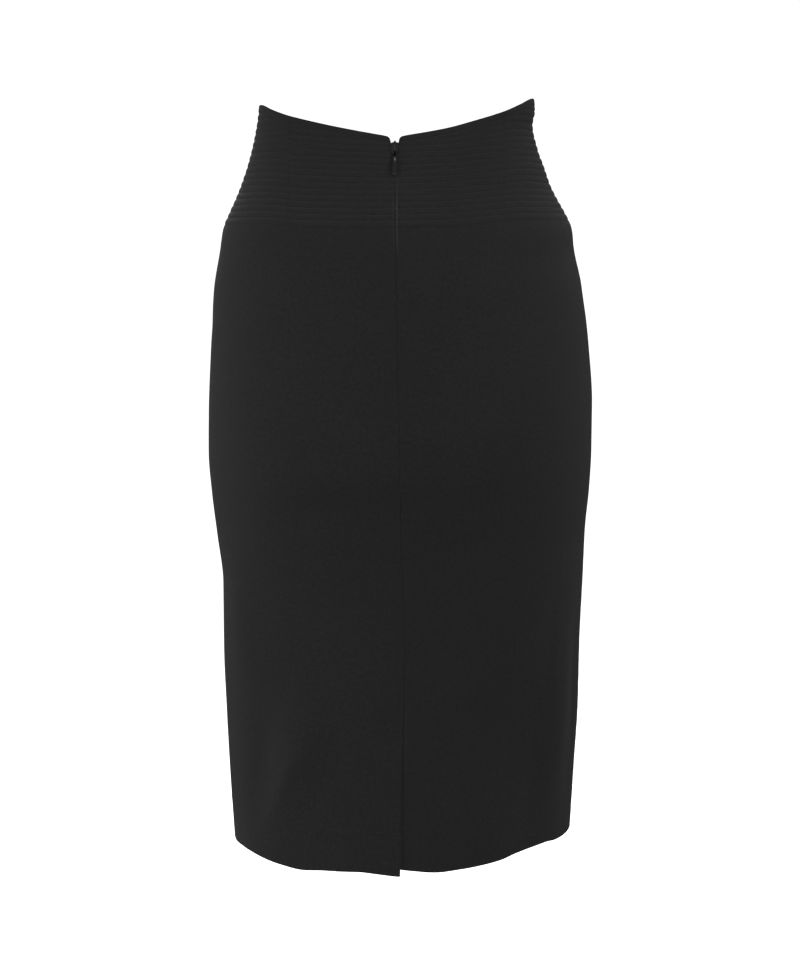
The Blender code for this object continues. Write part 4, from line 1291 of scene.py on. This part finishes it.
# %% Shapes of the slider
# Tapered outlines: half widths at the top and the bottom, the two ends, and the cut corners.
PLATE = (0.0036, 0.0031, -0.0060, 0.0045, 0.0010)
NECK = (0.0012, 0.0012, -0.0034, 0.0034, 0.0004)
BODY = (0.0034, 0.0029, -0.0050, 0.0050, 0.0009)
PLATE_FACES, NECK_BACK, BODY_FACES = (-0.0013, -0.0001), -0.0046, (-0.0054, -0.0038)
CROWN = [(0.0012, 0.0045), (0.0010, 0.0054), (0.0005, 0.0062)]  # one half of it
BRIDGE_HALF, BRIDGE_BAR = 0.00055, 0.0008  # half its width, and its thickness
BRIDGE_FOOT, BRIDGE_SHOULDER, BRIDGE_UNDER = 0.0040, 0.0028, 0.0019
BRIDGE_LOWER = 0.0015  # how much longer its lower leg reaches
FACE_RUB, BAR_HIGHLIGHT = 0.024, 0.10  # the enamel's wear on the face, and a painted highlight on the bridge's lower leg under the pull
SHARP = math.radians(50)


def mirrored(right):
    """A whole outline from its right half."""
    return right + [(-x, z) for x, z in reversed(right)]


def tapered(half_top, half_bottom, low, high, corner):
    """A tapered outline with its four corners cut."""
    right = [(half_bottom - corner, low), (half_bottom, low + corner)]
    return mirrored(right + [(half_top, high - corner), (half_top - corner, high)])


def extruded(bm, outline, low, high, axis, rounding):
    """Adds a rounded prism to a mesh. axis is the letter of the way it is extruded."""
    order = {"x": lambda u, v, w: (w, u, v), "y": lambda u, v, w: (u, w, v)}[axis]
    part = bmesh.new()
    face = part.faces.new([part.verts.new(order(u, v, low)) for u, v in outline])
    grown = bmesh.ops.extrude_face_region(part, geom=[face])["geom"]
    top = [v for v in grown if isinstance(v, bmesh.types.BMVert)]
    bmesh.ops.translate(part, verts=top, vec=Vector(order(0.0, 0.0, high - low)))
    bmesh.ops.recalc_face_normals(part, faces=part.faces)
    bmesh.ops.bevel(part, geom=part.edges, offset=rounding, segments=3, profile=0.6, affect="EDGES")
    mesh = end_mesh(part, "part")
    bm.from_mesh(mesh)
    bpy.data.meshes.remove(mesh)


plate = tapered(*PLATE)
plate = plate[:4] + mirrored(CROWN) + plate[4:]
middle = sum(PLATE_FACES) / 2
half_arch = [
    (middle, BRIDGE_FOOT),
    (BRIDGE_UNDER, BRIDGE_FOOT),
    (BRIDGE_UNDER + BRIDGE_BAR, BRIDGE_SHOULDER),
]
half_hole = [
    (BRIDGE_UNDER, BRIDGE_SHOULDER - BRIDGE_BAR / 2),
    (BRIDGE_UNDER - BRIDGE_BAR / 2, BRIDGE_FOOT - BRIDGE_BAR),
    (middle, BRIDGE_FOOT - BRIDGE_BAR),
]
arch = half_arch + [(y, -z - BRIDGE_LOWER) for y, z in reversed(half_arch)]
arch += [(y, -z - BRIDGE_LOWER) for y, z in half_hole[::-1]] + half_hole
slope = math.degrees(math.atan2(*outward(0.0, SLIDER_HEIGHT)[[2, 1]]))
seat = Vector(cloth(0.0, SLIDER_HEIGHT))

bm = bmesh.new()
extruded(bm, plate, *PLATE_FACES, "y", 0.00028)
extruded(bm, tapered(*NECK), NECK_BACK, middle, "y", 0.00010)
extruded(bm, tapered(*BODY), *BODY_FACES, "y", 0.00030)
extruded(bm, arch, -BRIDGE_HALF, BRIDGE_HALF, "x", 0.00018)
wear_and_painted_light = bm.verts.layers.float.new("wear_and_painted_light")
# The slider's face is worn a little; the bridge's lower leg under the pull gets a painted highlight.
for vert in bm.verts:
    under_the_pull = vert.co.y > 0.8 * BRIDGE_UNDER and vert.co.z < -BRIDGE_SHOULDER
    vert[wear_and_painted_light] = BAR_HIGHLIGHT if under_the_pull else FACE_RUB
bmesh.ops.transform(bm, matrix=Matrix.Rotation(math.radians(slope), 4, "X"), verts=bm.verts)
bmesh.ops.translate(bm, verts=bm.verts, vec=seat)
zip_slider = add_piece(end_mesh(bm, "zip_slider_metal"), enamel, merge=False)
zip_slider.data.set_sharp_from_angle(angle=SHARP)
print("slider:", triangles(zip_slider), "triangles, leaning", round(slope, 1), "degrees")

# %% The pull
PULL_OUTLINE = table(
    "down half",
    (-0.0005, 0.0012),
    (0.0000, 0.0017),
    (0.0060, 0.0018),
    (0.0100, 0.0015),
    (0.0145, 0.0015),
    (0.0200, 0.0022),
    (0.0238, 0.0025),
    (0.0262, 0.0019),
    (0.0270, 0.0009),
)
WINDOW = table("down half", (0.0005, 0.0008), (0.0062, 0.0009), (0.0082, 0.0004))
PULL_THICK, PULL_CROWN, PULL_LEAN = 0.0010, 0.62, 5.0  # the crown is rounder at 1
PIN_OUT, PIN_DOWN = 0.00085, 0.0036
RING_POINTS, RINGS = 120, 12
BOSS_DOWN, BOSS_HALF = 0.0101, 0.0007  # an oval boss below the window
BOSS_LONG, BOSS_RISE = 0.0014, 0.0006  # its half length and its rise
NECK_RUB, RIM_RUB, TIP_PAINTED_SHADE = 0.027, 0.030, 1.8  # wear of the enamel, beside 1 on the boss
RIM_SHARPNESS = 12
TIP_START, TIP_CURL = 0.0060, 0.0011  # the drop's tip curls in towards the cloth


def round_outline(rows, count, softness):
    """Even points round a mirrored outline, softened, starting from its top."""
    right = np.array([(row.half, -row.down) for row in rows])
    top = (0.0, right[0, 1])
    closed = np.concatenate([[top], right, right[::-1] * (-1, 1), [top]])
    run = np.concatenate([[0.0], np.cumsum(np.linalg.norm(np.diff(closed, axis=0), axis=1))])
    at = np.linspace(0, run[-1], count, endpoint=False)
    points = np.stack([np.interp(at, run, closed[:, k]) for k in (0, 1)], axis=1)
    for _ in range(softness):
        points = (np.roll(points, 1, axis=0) + 2 * points + np.roll(points, -1, axis=0)) / 4
    return points


def pull_mesh(name):
    """Rings from the edge to the window and back, crowned between."""
    edge = round_outline(PULL_OUTLINE, RING_POINTS, 3)
    window = round_outline(WINDOW, RING_POINTS, 6)
    rings, wear_and_painted_light = [], []
    for k in range(2 * RINGS):
        turn = math.pi * k / RINGS
        share = (1 - math.cos(turn)) / 2
        flat = edge * (1 - share) + window * share
        height = PULL_THICK / 2 * math.copysign(abs(math.sin(turn)) ** PULL_CROWN, math.sin(turn))
        inside = 1 - (flat[:, 0] / BOSS_HALF) ** 2 - ((flat[:, 1] + BOSS_DOWN) / BOSS_LONG) ** 2
        boss = np.sqrt(np.clip(inside, 0.0, 1.0)) * (height > 0)
        curl = np.clip((-flat[:, 1] - TIP_START) / (PULL_OUTLINE[-1].down - TIP_START), 0.0, 1.0) ** 2
        face = height + BOSS_RISE * boss - TIP_CURL * curl
        rings.append(np.stack([flat[:, 0], face, flat[:, 1]], axis=1))
        # The neck and rims are worn; towards the tip the wear fades out as painted shade, and the boss
        # carries a painted glint.
        above = np.clip(1 - TIP_PAINTED_SHADE * curl, 0.0, 1.0)
        wear_and_painted_light.append((NECK_RUB + RIM_RUB * abs(math.cos(turn)) ** RIM_SHARPNESS) * above + boss**2)
    index = np.arange(2 * RINGS * RING_POINTS).reshape(2 * RINGS, RING_POINTS)
    after, beside = np.roll(index, -1, axis=0), np.roll(index, -1, axis=1)
    across = np.roll(after, -1, axis=1)
    faces = np.stack([index, after, across, beside], axis=2).reshape(-1, 4)
    mesh = bpy.data.meshes.new(name)
    mesh.from_pydata(np.concatenate(rings).tolist(), [], faces.tolist())
    mesh.attributes.new("wear_and_painted_light", "FLOAT", "POINT").data.foreach_set("value", np.concatenate(wear_and_painted_light))
    return mesh


lean = math.radians(slope)
out_of_cloth = Vector((0.0, math.cos(lean), math.sin(lean)))
down_the_zip = Vector((0.0, math.sin(lean), -math.cos(lean)))
bar = seat + PIN_OUT * out_of_cloth + PIN_DOWN * down_the_zip
mesh = pull_mesh("zip_pull_metal")
mesh.transform(Matrix.Translation(bar) @ Matrix.Rotation(math.radians(slope + PULL_LEAN), 4, "X"))
bm = bmesh.new()
bm.from_mesh(mesh)
bmesh.ops.recalc_face_normals(bm, faces=bm.faces)
bm.to_mesh(mesh)
bm.free()
zip_pull = add_piece(mesh, enamel, merge=False)
print("pull:", triangles(zip_pull), "triangles, bar at", [round(v, 5) for v in bar])

# %% [markdown]
# ## What each piece stands for
#
# The solids stay for the physics, hidden, and each dressed piece is attached to the body it
# rides on. For every panel, the size it was cut to, measured on the same grid without folds,
# is printed.

for node, piece in {**YOKE_OF, **SKIRT_OF, **TAPE_OF}.items():
    width, length, area = cuts[node]
    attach(piece, "skirt")
    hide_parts(node)
    print(f"{node}: cut {1000 * width:.0f} x {1000 * length:.0f} mm, {1e4 * area:.0f} cm2")

SEWN_ON = {yoke_stitches: "yoke", hem_stitches: "skirt", vent_stitches: "vent", zip_coil: "zip"}
for piece, kind in SEWN_ON.items():
    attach(piece, "skirt")

for piece, node, body in ((zip_slider, "zip_slider", "skirt"), (zip_pull, "zip_pull", "pull")):
    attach(piece, body)
    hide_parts(node)

# %% [markdown]
# ## Floor, light and camera
#
# Black cloth shows its form only where light grazes it. So most of the light comes from a
# sky that is dark at the horizon and bright overhead, which picks out the quilting's rows,
# and from a large lamp on each side, low enough to draw the long swells. A narrow lamp lifts
# the left edge, a weak one above fills the middle, and one more lights the far side. The
# floor and the backdrop are plain and pale. They glow a little and send no light back to
# the cloth, or their white would flatten every fold.

# %% Floor and backdrop
FLOOR, FLOOR_RADIUS, BACKDROP_RADIUS = -1.25, 8.0, 8.5
pale_sockets = {
    "Base Color": (0.85, 0.85, 0.85, 1.0),
    "Emission Color": (1.0, 1.0, 1.0, 1.0),
    "Emission Strength": 0.95,
}
pale, tree = new_finish("pale_floor", pale_sockets)


def stage_piece(name, bm):
    """A piece of the studio, which the camera sees but which lights nothing."""
    thing = add_piece(end_mesh(bm, name), pale, merge=False)
    thing.visible_diffuse = thing.visible_glossy = thing.visible_shadow = False
    thing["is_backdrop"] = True


bm = bmesh.new()
bmesh.ops.create_circle(bm, cap_ends=True, segments=96, radius=FLOOR_RADIUS)
bmesh.ops.translate(bm, verts=bm.verts, vec=(0, 0, FLOOR))
stage_piece("studio_floor", bm)
bm = bmesh.new()
bmesh.ops.create_uvsphere(bm, u_segments=96, v_segments=48, radius=BACKDROP_RADIUS)
stage_piece("studio_backdrop", bm)

# %% Light
SKY_LOW, SKY_HIGH = 0.0, 0.385
world = bpy.data.worlds.new("studio")
world.use_nodes = True
tree = world.node_tree
way = add_node(tree, "ShaderNodeTexCoord").outputs["Generated"]
upward = add_node(tree, "ShaderNodeSeparateXYZ", {0: way}).outputs[2]
backdrop = tree.nodes["Background"]
backdrop.inputs["Color"].default_value = (1.0, 1.0, 1.0, 1.0)
tree.links.new(between(tree, upward, -0.5, 0.9, SKY_LOW, SKY_HIGH), backdrop.inputs["Strength"])
bpy.context.scene.world = world
bpy.context.scene.view_settings.view_transform = "Standard"

LAMPS = table(
    "name place aim width height watts",
    ("left", (1.8, 1.2, -0.4), (0.12, 0.0, -0.55), 0.7, 0.7, 25.0),
    ("left_rim", (2.2, 0.2, -0.5), (0.12, 0.0, -0.55), 0.7, 1.2, 10.0),
    ("right", (-2.0, 1.2, 0.3), (0.0, 0.0, -0.35), 0.9, 1.6, 38.0),
    ("above", (0.5, 2.2, 1.8), (0.0, 0.0, -0.30), 1.3, 1.3, 11.0),
    ("front", (0.2, -2.6, 0.9), (0.0, 0.0, -0.30), 1.4, 1.4, 42.0),
)
for lamp in LAMPS:
    light = bpy.data.lights.new(lamp.name, "AREA")
    light.shape = "RECTANGLE"
    light.size, light.size_y = lamp.width, lamp.height
    light.energy = lamp.watts
    thing = link(lamp.name, light)
    thing.location = lamp.place
    way = Vector(lamp.aim) - Vector(lamp.place)
    thing.rotation_euler = way.to_track_quat("-Z", "Y").to_euler()

# %% The camera
camera = link("camera", bpy.data.cameras.new("camera"))
camera.location = (-0.0018, 2.0, 0.020)
camera.rotation_euler = (math.radians(80.8), 0.0, math.radians(180.0))
camera.data.lens = 80.95
bpy.context.scene.camera = camera

# %% Sizes, and the end
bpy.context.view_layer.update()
total = sum(triangles(piece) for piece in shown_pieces() if piece.type == "MESH")
print("triangles in all:", total)
